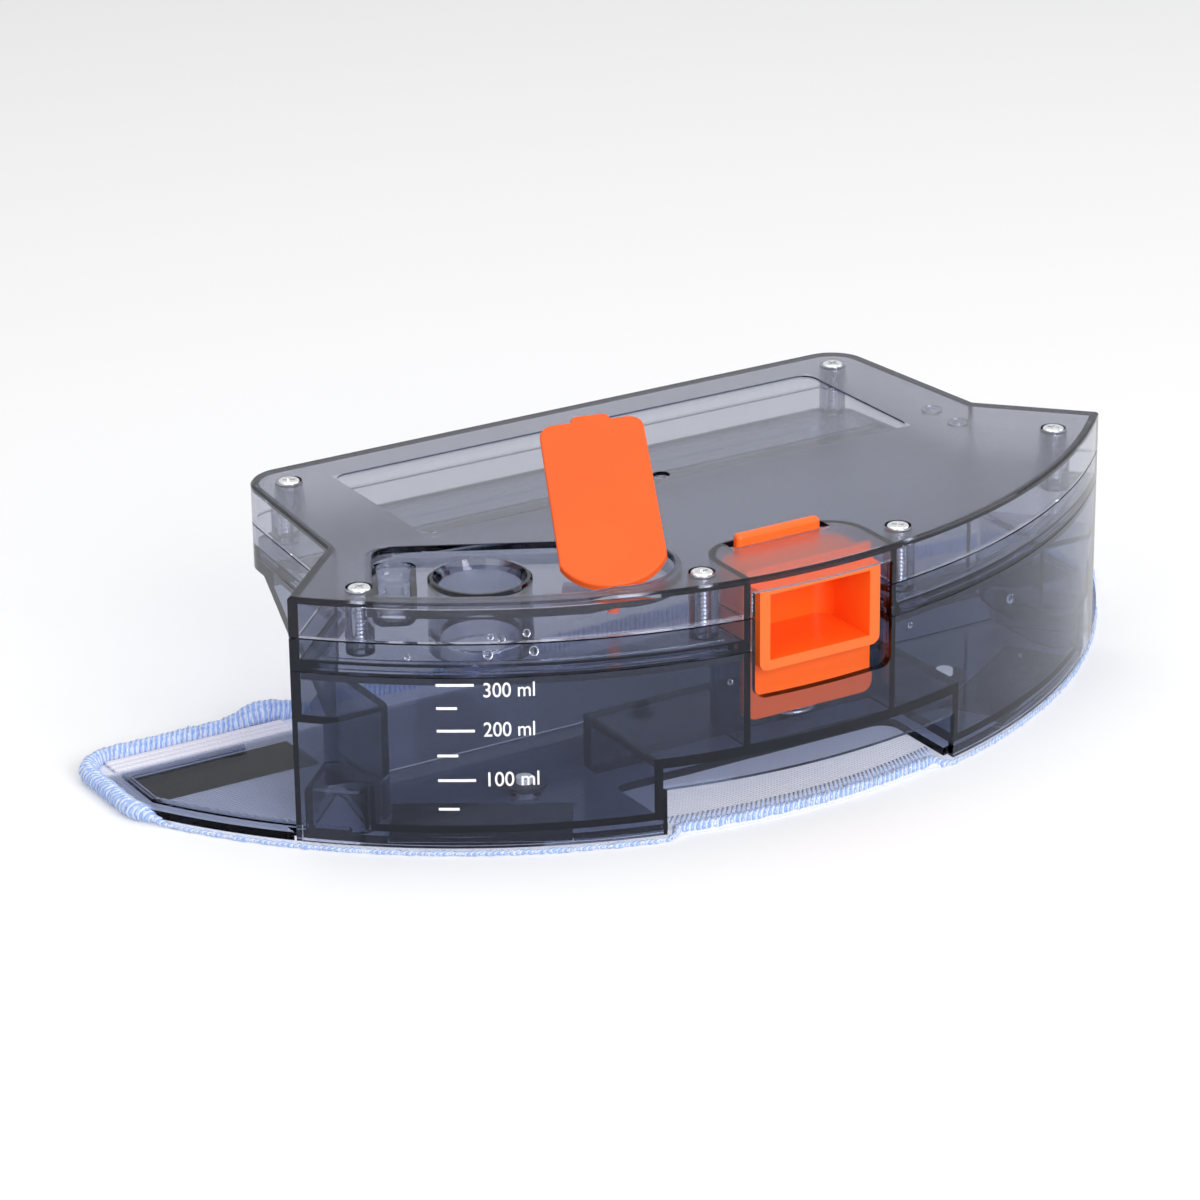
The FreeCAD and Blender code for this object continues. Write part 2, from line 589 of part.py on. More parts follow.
def latch_button():
    """Orange snap button: finger box, rear flange, top tab and spring peg."""
    outer = block((-BOX_HALF, BOX_HALF), (BOX_FRONT_Y, BOX_REAR_Y), (BOX_BOTTOM, BOX_TOP))
    outer = outer.makeFillet(BOX_REAR_CORNER, rear_uprights(outer, BOX_BOTTOM, BOX_TOP))
    low_edges = [
        edge for edge in outer.Edges if edge.BoundBox.YLength > PAST and edge.BoundBox.ZMax < BOX_BOTTOM + PAST]
    outer = outer.makeFillet(BOX_CORNER, low_edges)
    flange_y = (PLATE_FRONT_Y, PLATE_FRONT_Y + PLATE_THICK)
    flange = block((-PLATE_HALF, PLATE_HALF), flange_y, (PLATE_BOTTOM, FLANGE_TOP))
    low_edges = [
        edge for edge in flange.Edges if edge.BoundBox.YLength > PAST and edge.BoundBox.ZMax < PLATE_BOTTOM + PAST]
    flange = flange.makeFillet(FLANGE_CORNER, low_edges)
    tab_y = (TAB_MID_Y - TAB_THICK / 2, TAB_MID_Y + TAB_THICK / 2)
    tab = block((-TAB_HALF, TAB_HALF), tab_y, (BOX_TOP - PAST, LID_TOP + TAB_PROUD))
    tab = tab.makeFillet(TAB_ROUND, [edge for edge in tab.Edges if edge.BoundBox.ZMax > BOX_TOP])
    peg = Part.makeCylinder(PEG_RADIUS, PEG_LONG, Vector(0, SPRING_Y, BOX_BOTTOM + PAST / 2 - PEG_LONG))
    return outer.fuse([flange, tab, peg]).cut(finger_room()).removeSplitter()


def latch_spring():
    """Steel coil spring between the well's floor and the button.

    Each turn is a level half ring and a half ring that climbs by one pitch, so both are true arcs.
    """
    low = WELL_FLOOR + SPRING_WIRE + TOUCH_GAP
    high = BOX_BOTTOM - SPRING_WIRE - TOUCH_GAP
    pitch = (high - low) / SPRING_TURNS
    climb = math.atan2(pitch, 2 * SPRING_RADIUS)
    halves = []
    for turn in range(SPRING_TURNS):
        z = low + turn * pitch
        start = Vector(SPRING_RADIUS, SPRING_Y, z)
        far = Vector(-SPRING_RADIUS, SPRING_Y, z)
        level = Part.Face(Part.Wire([Part.makeCircle(SPRING_WIRE, start, Vector(0, 1, 0))]))
        halves.append(level.revolve(Vector(0, SPRING_Y, z), Vector(0, 0, 1), 180))
        rising = Part.Face(Part.Wire([Part.makeCircle(SPRING_WIRE, far, Vector(0, 1, 0))]))
        middle = Vector(0, SPRING_Y, z + pitch / 2)
        halves.append(rising.revolve(middle, Vector(-math.sin(climb), 0, math.cos(climb)), 180))
    return halves[0].fuse(halves[1:]).removeSplitter()


def pivot_point():
    stem = recess_point(STEM_U, STEM_V)
    return Vector(stem.x, stem.y, LID_TOP + PIVOT_ABOVE_LID)


def flap_placement():
    """Places a flap drawn flat, with its length on X, into its open pose."""
    twist = FreeCAD.Rotation(Vector(1, 0, 0), -FLAP_TWIST)
    rise = FreeCAD.Rotation(Vector(0, 1, 0), -FLAP_RISE)
    yaw = FreeCAD.Rotation(Vector(0, 0, 1), FLAP_YAW)
    return FreeCAD.Placement(pivot_point(), yaw.multiply(rise).multiply(twist))


def filler_flap():
    """Orange silicone flap with its sealing plug and hinge eyes, standing open."""
    start = FLAP_END_RADIUS - math.sqrt(FLAP_END_RADIUS ** 2 - FLAP_HALF ** 2)
    near_x = start - FLAP_END_RADIUS
    edges = [
        Part.Arc(Vector(near_x, FLAP_HALF, 0), Vector(-FLAP_END_RADIUS, 0, 0), Vector(near_x, -FLAP_HALF, 0)).toShape(),
        Part.makeLine(Vector(near_x, -FLAP_HALF, 0), Vector(FLAP_REACH, -FLAP_HALF, 0)),
        Part.makeLine(Vector(FLAP_REACH, -FLAP_HALF, 0), Vector(FLAP_REACH, FLAP_HALF, 0)),
        Part.makeLine(Vector(FLAP_REACH, FLAP_HALF, 0), Vector(near_x, FLAP_HALF, 0)),
    ]
    low = PIVOT_TO_FLAP - FLAP_THICK / 2
    high = PIVOT_TO_FLAP + FLAP_THICK / 2
    sheet = prism(Part.Face(Part.Wire(edges)), low, high)
    far = [edge for edge in vertical_edges(sheet, low, high) if edge.Vertexes[0].Point.x > FLAP_REACH - PAST]
    sheet = sheet.makeFillet(FLAP_CORNER, far)
    tab_x = (FLAP_REACH - FLAP_CORNER / 2, FLAP_REACH + FLAP_TAB_OUT)
    tab = block(tab_x, (-FLAP_TAB_HALF, FLAP_TAB_HALF), (low, high))
    outer_end = [
        edge for edge in vertical_edges(tab, low, high) if edge.Vertexes[0].Point.x > FLAP_REACH + PAST]
    sheet = sheet.fuse(tab.makeFillet(FLAP_TAB_ROUND, outer_end)).removeSplitter()
    rims = [edge for edge in sheet.Edges if edge.BoundBox.ZMin > high - TOUCH_GAP]
    sheet = sheet.makeFillet(FLAP_EDGE, rims)
    plug_x = NECK_U - STEM_U
    plug_y = STEM_V - NECK_V
    foot = low - PLUG_DEEP
    plug = Part.makeCone(PLUG_RADIUS - PLUG_TAPER, PLUG_RADIUS, PLUG_DEEP, Vector(plug_x, plug_y, foot))
    hollow = Part.makeCylinder(PLUG_RADIUS - PLUG_WALL, PLUG_DEEP + PAST, Vector(plug_x, plug_y, foot - PAST))
    bead = Part.makeTorus(PLUG_RADIUS - BEAD_RADIUS, BEAD_RADIUS, Vector(plug_x, plug_y, low - BEAD_DROP))
    plug = plug.fuse(bead).cut(hollow)
    eyes = Part.makeCylinder(EYE_RADIUS, 2 * PIN_HALF, Vector(0, -PIN_HALF, 0), Vector(0, 1, 0))
    eyes = eyes.fuse(block((-EYE_RADIUS, EYE_RADIUS), (-PIN_HALF, PIN_HALF), (0, low + FLAP_THICK / 4)))
    flap = sheet.fuse([plug, eyes]).removeSplitter()
    gap = STEM_RADIUS + EYE_GAP
    flap = flap.cut(block((-FLAP_THICK - EYE_RADIUS, FLAP_THICK + EYE_RADIUS), (-gap, gap), (-EYE_RADIUS, low)))
    bore_from = Vector(0, -FLAP_HALF, 0)
    flap = flap.cut(Part.makeCylinder(PIN_RADIUS + RUNNING_GAP, 2 * FLAP_HALF, bore_from, Vector(0, 1, 0)))
    flap.Placement = flap_placement()
    return flap


def flap_stem():
    """Orange stem that snaps through the recess floor and carries the flap's cross pin."""
    floor = LID_TOP - RECESS_DEPTH
    pivot = pivot_point()
    under = floor - RECESS_FLOOR - SEAM_GAP
    above = floor + SEAM_GAP
    crown = pivot.z + PIN_RADIUS / 2
    points = [
        (0, floor - STEM_TAIL), (STEM_TAIL_RADIUS, floor - STEM_TAIL), (STEM_TAIL_RADIUS, under - STEM_CONE),
        (STEM_BARB_RADIUS, under - STEM_STEP), (STEM_BARB_RADIUS, under), (STEM_RADIUS, under),
        (STEM_RADIUS, above), (STEM_COLLAR_RADIUS, above), (STEM_COLLAR_RADIUS, above + STEM_STEP),
        (STEM_RADIUS, above + STEM_STEP), (STEM_RADIUS, crown), (0, crown),
    ]
    corners = [Vector(radius, 0, z) for radius, z in points]
    face = Part.Face(Part.makePolygon(corners + corners[:1]))
    stem = face.revolve(Vector(0, 0, 0), Vector(0, 0, 1), 360)
    stem.translate(Vector(pivot.x, pivot.y, 0))
    across = flap_placement().Rotation.multVec(Vector(0, 1, 0))
    half = PIN_HALF - SEAM_GAP
    pin = Part.makeCylinder(PIN_RADIUS, 2 * half, pivot - across * half, across)
    return stem.fuse(pin).removeSplitter()


def mop_plate_face(half_span, rear_y, radius):
    """Plan of the mop plate: straight rear and ends, round front."""
    end_y = ARC_CENTRE_Y - math.sqrt(radius ** 2 - half_span ** 2)
    corners = [
        Vector(half_span, end_y, 0), Vector(half_span, rear_y, 0),
        Vector(-half_span, rear_y, 0), Vector(-half_span, end_y, 0),
    ]
    edges = [front_arc(radius, half_span)]
    edges += [Part.makeLine(corners[i], corners[i + 1]) for i in range(3)]
    return Part.Face(Part.Wire(Part.__sortEdges__(edges)))


def strip_boxes(low, high, grow):
    """The four hook strips under the mop plate: one in each wing, one behind each skirt."""
    strips = {}
    long = STRIP_LONG / 2 + grow
    wide = STRIP_WIDE / 2 + grow
    for name, side in (("right", 1), ("left", -1)):
        x = sorted((side * (STRIP_WING_X[0] - grow), side * (STRIP_WING_X[1] + grow)))
        y = (STRIP_WING_Y[0] - grow, STRIP_WING_Y[1] + grow)
        strips["hook_strip_" + name] = block(x, y, (low, high))
        strip = block((-long, long), (-wide, wide), (low, high))
        strip.rotate(Vector(0, 0, 0), Vector(0, 0, 1), side * STRIP_TURN)
        strip.translate(Vector(side * STRIP_FRONT[0], STRIP_FRONT[1], 0))
        strips["hook_strip_front_" + name] = strip
    return strips


def mop_plate():
    """Clear plate under the tank that carries the cloth, with a raised border on its wings."""
    low = CLOTH_THICK
    high = low + MOP_PLATE_THICK
    full = mop_plate_face(PLATE_HALF_SPAN, MOP_PLATE_REAR_Y, FRONT_RADIUS)
    wing_x = TIP_X + PLATE_SKIRT_GAP
    allowed = front_disc(WALL + PLATE_SKIRT_GAP, 0, FAR)
    for side in (1, -1):
        allowed = allowed.fuse(block(sorted((side * wing_x, side * FAR)), (-FAR, FAR), (0, FAR)))
    border = prism(inset(full, BORDER_INSET[0]), high - PAST, high + BORDER_RIB)
    border = border.cut(prism(inset(full, BORDER_INSET[1]), 0, FAR))
    border = border.cut(block((-BORDER_NEAR_X, BORDER_NEAR_X), (-FAR, FAR), (0, FAR)))
    plate = prism(full, low, high).fuse(border).common(allowed)
    cutout_half = NOTCH_HALF - CUTOUT_SIDE_GAP
    cutout = block((-cutout_half, cutout_half), (-FAR, CUTOUT_REAR_Y), (0, FOOT_TOP))
    plate = plate.cut(cutout.makeFillet(CUTOUT_CORNER, vertical_edges(cutout, 0, FOOT_TOP)))
    for strip in strip_boxes(0, low + STRIP_THICK + TOUCH_GAP, STRIP_GAP).values():
        plate = plate.cut(strip)
    for side in (1, -1):
        catch = corner_foot(side, CATCH_GAP, high - PAST / 2, FOOT_TOP - CATCH_HEADROOM)
        hollow = corner_foot(side, CATCH_GAP + CATCH_WALL, high - PAST, FOOT_TOP)
        plate = plate.fuse(catch.cut(hollow))
    for x, y in outlet_places():
        plate = plate.cut(Part.makeCylinder(OUTLET_RADIUS, FOOT_TOP, Vector(x, y, 0)))
    return plate.removeSplitter()


def cloth_face(grow):
    """Plan of the mop cloth, a little larger than the plate all round."""
    radius = FRONT_RADIUS + CLOTH_OVERHANG + grow
    face = mop_plate_face(CLOTH_HALF_SPAN + grow, CLOTH_REAR_Y + grow, radius)
    slab = prism(face, 0, CLOTH_THICK)
    slab = slab.makeFillet(CLOTH_CORNER, vertical_edges(slab, 0, CLOTH_THICK))
    return [flat for flat in slab.Faces if flat.BoundBox.ZMax < TOUCH_GAP][0]


def mop_cloth():
    """Woven mop cloth, a flat pad under the plate."""
    return prism(cloth_face(-EDGING_WIDE - TOUCH_GAP), 0, CLOTH_THICK - TOUCH_GAP)


def cloth_edging():
    """Overlocked edge round the cloth, thick behind the plate and thin under the front."""
    high = EDGING_LOW + EDGING_TALL
    ring = prism(cloth_face(0), EDGING_LOW, high).cut(prism(cloth_face(-EDGING_WIDE), 0, FAR))
    above = mop_plate_face(PLATE_HALF_SPAN + TOUCH_GAP, MOP_PLATE_REAR_Y + TOUCH_GAP, FRONT_RADIUS + TOUCH_GAP)
    ring = ring.cut(prism(above, CLOTH_THICK - TOUCH_GAP, FAR))
    return ring.cut(block((-FAR, FAR), (-FAR, EDGING_TALL_FROM_Y), (EDGING_FRONT_TOP, FAR)))


def elastic_band(side):
    """Ribbed elastic sewn along the cloth's rear edge, behind each wing."""
    low = CLOTH_THICK
    y = (MOP_PLATE_REAR_Y + PAST, MOP_PLATE_REAR_Y + PAST + BAND_WIDE)
    x = sorted((side * BAND_NEAR_X, side * BAND_FAR_X))
    band = block(x, y, (low, low + BAND_THICK))
    pitch = BAND_WIDE / BAND_RIBS
    length = BAND_FAR_X - BAND_NEAR_X + 2 * PAST
    for index in range(1, BAND_RIBS):
        start = Vector(x[0] - PAST, y[0] + index * pitch, low + BAND_THICK)
        band = band.cut(Part.makeCylinder(BAND_GROOVE, length, start, Vector(1, 0, 0)))
    return band


def outlet_parts():
    """Rubber seals and felt wicks in the two water outlets."""
    parts = {}
    top = TUB_UNDERSIDE + TUB_FLOOR
    for name, (x, y) in zip(("right", "left"), outlet_places()):
        seal = tube(OUTLET_RADIUS - TOUCH_GAP, WICK_RADIUS + TOUCH_GAP, TUB_UNDERSIDE, top + SEAL_LIP, x, y)
        flange = tube(OUTLET_RADIUS + SEAL_FLANGE, WICK_RADIUS + TOUCH_GAP, top + TOUCH_GAP, top + SEAL_LIP, x, y)
        parts["outlet_seal_" + name] = seal.fuse(flange).removeSplitter()
        wick_tall = top + WICK_PROUD - CLOTH_THICK
        parts["outlet_wick_" + name] = Part.makeCylinder(WICK_RADIUS, wick_tall, Vector(x, y, CLOTH_THICK))
    return parts


def air_vent_valve():
    """Small umbrella valve that lets air in as the water drips out."""
    x, y = VALVE_PLACE
    deck = LOWER_SEAM + SEAM_GAP + FRAME_DECK
    foot = deck - FRAME_DECK - VALVE_FOOT
    stem = Part.makeCylinder(VALVE_STEM_RADIUS, deck + TOUCH_GAP + VALVE_CAP_TALL - foot, Vector(x, y, foot))
    cap = Part.makeCone(
        VALVE_CAP_RADIUS, VALVE_STEM_RADIUS, VALVE_CAP_TALL, Vector(x, y, deck + TOUCH_GAP))
    barb = Part.makeCone(VALVE_STEM_RADIUS, VALVE_BARB_RADIUS, VALVE_CAP_TALL, Vector(x, y, foot))
    return stem.fuse([cap, barb]).removeSplitter()


def main():
    parts = {
        "lower_tub": lower_tub(),
        "middle_frame": middle_frame(),
        "top_cover": top_cover(),
        "tank_gasket": tank_gasket(),
        "cover_screws": cover_screws(),
        "latch_button": latch_button(),
        "latch_spring": latch_spring(),
        "filler_flap": filler_flap(),
        "flap_stem": flap_stem(),
        "mop_plate": mop_plate(),
        "mop_cloth": mop_cloth(),
        "cloth_edging": cloth_edging(),
        "elastic_band_right": elastic_band(1),
        "elastic_band_left": elastic_band(-1),
        "air_vent_valve": air_vent_valve(),
    }
    parts.update(strip_boxes(CLOTH_THICK, CLOTH_THICK + STRIP_THICK, 0))
    parts.update(outlet_parts())
    os.makedirs("parts", exist_ok=True)
    for name, shape in parts.items():
        box = shape.BoundBox
        print(
            f"{name:24s} solids {len(shape.Solids)} valid {shape.isValid()} volume {shape.Volume:9.1f}",
            f"x {box.XMin:.1f} {box.XMax:.1f} y {box.YMin:.1f} {box.YMax:.1f} z {box.ZMin:.1f} {box.ZMax:.1f}")
        shape.exportStep(f"parts/{name}.step")


main()
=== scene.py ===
# %% [markdown]
# # A robot vacuum's water tank, dressed for its photograph
# The CAD model gives every rigid piece at its true size. This lesson adds what CAD leaves plain:
# the clear smoky plastic, the woven mop cloth with its sewn edge, the elastic, the screw threads,
# the printed volume scale and the water drops, and then the camera and the light.

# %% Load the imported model
import math

import bpy
from mathutils import Matrix, Vector


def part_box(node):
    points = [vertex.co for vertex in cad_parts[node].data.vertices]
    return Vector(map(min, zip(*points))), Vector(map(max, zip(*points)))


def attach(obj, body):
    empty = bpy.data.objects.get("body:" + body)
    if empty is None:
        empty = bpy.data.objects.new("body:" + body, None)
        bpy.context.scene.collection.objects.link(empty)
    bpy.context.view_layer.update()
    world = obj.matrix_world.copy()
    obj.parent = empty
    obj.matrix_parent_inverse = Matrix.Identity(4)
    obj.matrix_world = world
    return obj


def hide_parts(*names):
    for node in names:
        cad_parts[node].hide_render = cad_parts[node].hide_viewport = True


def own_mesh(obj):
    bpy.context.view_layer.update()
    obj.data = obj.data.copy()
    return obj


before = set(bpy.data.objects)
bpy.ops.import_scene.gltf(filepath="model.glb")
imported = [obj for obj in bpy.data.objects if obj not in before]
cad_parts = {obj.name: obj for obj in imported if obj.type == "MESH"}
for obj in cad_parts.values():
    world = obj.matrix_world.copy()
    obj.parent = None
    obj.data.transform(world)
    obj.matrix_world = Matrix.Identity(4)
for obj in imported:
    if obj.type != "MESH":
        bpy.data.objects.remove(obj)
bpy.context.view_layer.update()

# %% [markdown]
# ## The sizes that the dressing needs
# Blender works in metres and the drawing is in millimetres, so one factor turns one into the
# other. A few sizes come straight from the boxes of the CAD nodes, and the rest repeat the
# drawing's own driving sizes.

# %% Sizes
MM = 0.001
FRONT_RADIUS = 170.0 * MM
ARC_CENTRE = Vector((0.0, 104.0 * MM, 0.0))
LID_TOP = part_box("top_cover")[1][2]
CLOTH_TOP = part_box("mop_plate")[0][2]
TANK_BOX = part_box("lower_tub")
print("cloth thickness mm", round(CLOTH_TOP / MM, 2))

# %% [markdown]
# ## Small helpers for working by hand
# An operator acts on whatever is selected, so each step begins with nothing selected. A finished
# piece keeps its place in its mesh, with its object at the origin, as the CAD nodes do.


# %% Helpers
def pick_only(*objects):
    """Deselects everything, then selects these and makes the first one active."""
    if bpy.context.mode != "OBJECT":
        bpy.ops.object.mode_set(mode="OBJECT")
    bpy.ops.object.select_all(action="DESELECT")
    for item in objects:
        item.select_set(True)
    bpy.context.view_layer.objects.active = objects[0]


def settle(piece, name, finish, body):
    """Names a piece, moves its place into its mesh, and gives it its finish and its body."""
    pick_only(piece)
    bpy.ops.object.transform_apply(location=True, rotation=True, scale=True)
    piece.name = name
    piece.data.name = name
    piece.data.materials.clear()
    piece.data.materials.append(finish)
    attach(piece, body)
    triangles = sum(len(face.vertices) - 2 for face in piece.data.polygons)
    print(name, "triangles", triangles)
    return piece


def apply_all(piece):
    """Applies every modifier on a piece."""
    pick_only(piece)
    for modifier in list(piece.modifiers):
        bpy.ops.object.modifier_apply(modifier=modifier.name)


# %% [markdown]
# ## Shader maths as plain sums
# A material is a graph of nodes, and long lists of links are hard to read. Here a socket is
# wrapped in a small class with the usual operators, so `1 - mask` adds its own Math node.


# %% Shader helpers
class Signal:
    """One output socket, so that shader maths reads as a Python sum."""

    def __init__(self, finish, socket):
        self.finish = finish
        self.socket = socket

    def maths(self, operation, *values):
        """A Math node of this signal and the other values."""
        inputs = dict(enumerate((self, *values)))
        return self.finish.node("ShaderNodeMath", {"operation": operation}, inputs)

    def __add__(self, other):
        return self.maths("ADD", other)

    def __sub__(self, other):
        return self.maths("SUBTRACT", other)

    def __rsub__(self, other):
        return self.finish.node("ShaderNodeMath", {"operation": "SUBTRACT"}, {0: other, 1: self})

    def __mul__(self, other):
        return self.maths("MULTIPLY", other)

    __radd__ = __add__
    __rmul__ = __mul__


LAMP_PASSES = (0.95, 0.95, 0.97, 1.0)
LAMP_SPARED = 0.75


class Finish:
    """A material under construction."""

    def __init__(self, name):
        self.material = bpy.data.materials.new(name)
        self.material.use_nodes = True
        self.tree = self.material.node_tree
        self.tree.nodes.clear()
        self.depth = None

    def node(self, kind, settings=None, inputs=None, output=0):
        """Adds one node: its settings first, then its sockets' values or links."""
        made = self.tree.nodes.new(kind)
        for key, value in (settings or {}).items():
            if key == "stops":
                for element, (position, colour) in zip(made.color_ramp.elements, value):
                    element.position = position
                    element.color = colour
            else:
                setattr(made, key, value)
        for key, value in (inputs or {}).items():
            if isinstance(value, Signal):
                self.tree.links.new(value.socket, made.inputs[key])
            else:
                made.inputs[key].default_value = value
        return Signal(self, made.outputs[output] if made.outputs else None)

    def place(self):
        """Object coordinates, in metres."""
        return self.node("ShaderNodeTexCoord", output="Object")

    def parts_of(self, vector):
        """The X, Y and Z of a vector."""
        split = self.node("ShaderNodeSeparateXYZ", inputs={0: vector}).socket.node
        return [Signal(self, split.outputs[axis]) for axis in "XYZ"]

    def noise(self, size, detail=3.0, roughness=0.5):
        """Noise whose patches are about this many metres across."""
        inputs = {"Vector": self.place(), "Scale": 1 / size, "Detail": detail, "Roughness": roughness}
        return self.node("ShaderNodeTexNoise", inputs=inputs, output="Fac")

    def blend(self, mask, first, second):
        """Mixes two colours by a mask."""
        mixed = self.node("ShaderNodeMix", {"data_type": "RGBA"}, {0: mask}).socket.node
        for key, value in ((6, first), (7, second)):
            if isinstance(value, Signal):
                self.tree.links.new(value.socket, mixed.inputs[key])
            else:
                mixed.inputs[key].default_value = value
        return Signal(self, mixed.outputs[2])

    def bump(self, height, strength, depth):
        """A bump of this depth in metres."""
        inputs = {"Height": height, "Strength": strength, "Distance": depth}
        return self.node("ShaderNodeBump", inputs=inputs)

    def surface(self, **inputs):
        """Ends the material in a Principled shader."""
        named = {key.replace("_", " "): value for key, value in inputs.items()}
        ends = {"Surface": self.node("ShaderNodeBsdfPrincipled", inputs=named)}
        if self.depth:
            shadow = self.node("ShaderNodeLightPath", output="Is Shadow Ray")
            passing = self.node("ShaderNodeBsdfTransparent", inputs={"Color": LAMP_PASSES})
            ends["Volume"] = self.node("ShaderNodeMixShader", inputs={0: shadow * LAMP_SPARED, 1: self.depth})
            ends["Surface"] = self.node(
                "ShaderNodeMixShader", inputs={0: shadow, 1: ends["Surface"], 2: passing})
        self.node("ShaderNodeOutputMaterial", inputs=ends)
        return self.material


def colour(red, green, blue):
    """A colour with full cover."""
    return (red, green, blue, 1.0)


# %% [markdown]
# ## The camera
# The photograph was taken with a long lens from the left, a little above the lid. The camera
# stands where the outline of the curved front and the lid's corners fall on the right places.

# %% Camera
VIEW_AZIMUTH = math.radians(-30.9)
VIEW_ELEVATION = math.radians(22.07)
VIEW_ROLL = math.radians(-0.72)
CAMERA_PLACE = Vector((-569.2, -908.17, 469.49)) * MM
LENS = 133.38
bpy.ops.object.select_all(action="DESELECT")
bpy.ops.object.camera_add()
camera = bpy.context.object
back = Vector((
    math.sin(VIEW_AZIMUTH) * math.cos(VIEW_ELEVATION),
    -math.cos(VIEW_AZIMUTH) * math.cos(VIEW_ELEVATION),
    math.sin(VIEW_ELEVATION)))
level_right = Vector((0, 0, 1)).cross(back).normalized()
level_up = back.cross(level_right)
right = math.cos(VIEW_ROLL) * level_right + math.sin(VIEW_ROLL) * level_up
up = math.cos(VIEW_ROLL) * level_up - math.sin(VIEW_ROLL) * level_right
camera.matrix_world = Matrix.Translation(CAMERA_PLACE) @ Matrix((right, up, back)).transposed().to_4x4()
camera.data.lens = LENS
camera.data.sensor_width = 36.0
camera.data.clip_start = 0.05
bpy.context.scene.camera = camera
print("camera mm", [round(value / MM, 1) for value in camera.location])

# %% [markdown]
# ## Floor, backdrop and light
# A white studio: one wide floor, a white world behind it, and a few large soft lamps.
# The floor shows as white to the camera, to reflections and through clear plastic, and a
# diffuse shader under that keeps the soft shadow of the tank.

# %% Floor
floor_finish = Finish("studio_floor")
rays = floor_finish.node("ShaderNodeLightPath").socket.node
FLOOR_GLOW = 0.16
glow = Signal(floor_finish, rays.outputs["Is Camera Ray"])
glow = glow + Signal(floor_finish, rays.outputs["Is Glossy Ray"])
glow = glow + Signal(floor_finish, rays.outputs["Is Transmission Ray"])
floor_material = floor_finish.surface(
    Base_Color=colour(0.84, 0.84, 0.85), Roughness=0.9, Specular_IOR_Level=0.0,
    Emission_Color=colour(1.0, 1.0, 1.0), Emission_Strength=glow.maths("MINIMUM", 1.0) * FLOOR_GLOW)
bpy.ops.object.select_all(action="DESELECT")
bpy.ops.mesh.primitive_plane_add(size=14.0)
floor = bpy.context.object
floor.name = "floor"
floor.data.materials.append(floor_material)

# %% World and lamps
world = bpy.data.worlds.new("white_studio")
bpy.context.scene.world = world
world.use_nodes = True
sky = world.node_tree
sky.nodes.clear()
seen = sky.nodes.new("ShaderNodeLightPath")
SKY_SEEN = 1.0
SKY_LIGHT = 0.60
backdrop = sky.nodes.new("ShaderNodeBackground")
backdrop.inputs["Strength"].default_value = SKY_SEEN
ambient = sky.nodes.new("ShaderNodeBackground")
ambient.inputs["Strength"].default_value = SKY_LIGHT
any_view = sky.nodes.new("ShaderNodeMath")
any_view.operation = "MAXIMUM"
all_seen = sky.nodes.new("ShaderNodeMath")
all_seen.operation = "MAXIMUM"
mix = sky.nodes.new("ShaderNodeMixShader")
out = sky.nodes.new("ShaderNodeOutputWorld")
sky.links.new(seen.outputs["Is Camera Ray"], any_view.inputs[0])
sky.links.new(seen.outputs["Is Transmission Ray"], any_view.inputs[1])
sky.links.new(any_view.outputs[0], all_seen.inputs[0])
sky.links.new(seen.outputs["Is Glossy Ray"], all_seen.inputs[1])
sky.links.new(all_seen.outputs[0], mix.inputs["Fac"])
sky.links.new(ambient.outputs[0], mix.inputs[1])
sky.links.new(backdrop.outputs[0], mix.inputs[2])
sky.links.new(mix.outputs[0], out.inputs["Surface"])


def softbox(name, place, aim, width, height, power):
    """A large rectangular lamp that points at a place."""
    bpy.ops.object.select_all(action="DESELECT")
    bpy.ops.object.light_add(type="AREA", location=place)
    lamp = bpy.context.object
    lamp.name = name
    lamp.data.shape = "RECTANGLE"
    lamp.data.size = width
    lamp.data.size_y = height
    lamp.data.energy = power
    lamp.rotation_euler = (Vector(aim) - Vector(place)).to_track_quat("-Z", "Y").to_euler()
    return lamp


TANK_MIDDLE = (0.0, 0.0, 0.03)
softbox("top_softbox", (0.0, 0.25, 1.15), TANK_MIDDLE, 1.3, 1.0, 3.5)
softbox("left_softbox", (-1.2, -0.5, 0.75), TANK_MIDDLE, 0.8, 1.0, 4.0)
softbox("right_softbox", (1.2, -0.35, 0.6), TANK_MIDDLE, 0.6, 0.9, 2.5)
softbox("front_softbox", (-0.1, -1.35, 0.72), TANK_MIDDLE, 0.9, 0.6, 15.0)
view = bpy.context.scene.view_settings
view.view_transform = "Standard"

# %% [markdown]
# ## Clear smoky plastic
# The three housing layers and the mop plate are one clear grey plastic. Each is a closed solid
# with real wall thickness. The smoke is inside the plastic, so it is a volume that absorbs light:
# one wall stays clear, and an edge, where light runs a long way inside, goes dark blue. Lamps
# can't find their way through a bending surface, so for shadow rays alone it is transparent.


# %% Clear plastic
SMOKE = (0.20, 0.26, 0.41, 1.0)
SHEEN_TINT = (0.70, 0.75, 0.95, 1.0)


def clear_plastic(name, tint, deep, roughness, density, gloss, ior=1.49):
    """Clear plastic with smoke inside it and a faint drift in its tint."""
    finish = Finish(name)
    finish.depth = finish.node("ShaderNodeVolumeAbsorption", inputs={"Color": SMOKE, "Density": density})
    return finish.surface(
        Base_Color=finish.blend(finish.noise(22 * MM, 1.0), tint, deep), Roughness=roughness, IOR=ior,
        Transmission_Weight=1.0, Specular_IOR_Level=gloss, Specular_Tint=SHEEN_TINT)


clear_tub = clear_plastic(
    "clear_tub", colour(0.91, 0.93, 0.96), colour(0.87, 0.89, 0.93), 0.02, 340.0, 0.30)
clear_frame = clear_plastic(
    "clear_frame", colour(0.98, 0.98, 0.99), colour(0.95, 0.95, 0.97), 0.02, 215.0, 0.40)
clear_plate = clear_plastic(
    "clear_plate", colour(0.88, 0.89, 0.91), colour(0.84, 0.85, 0.88), 0.08, 300.0, 0.05, 1.22)

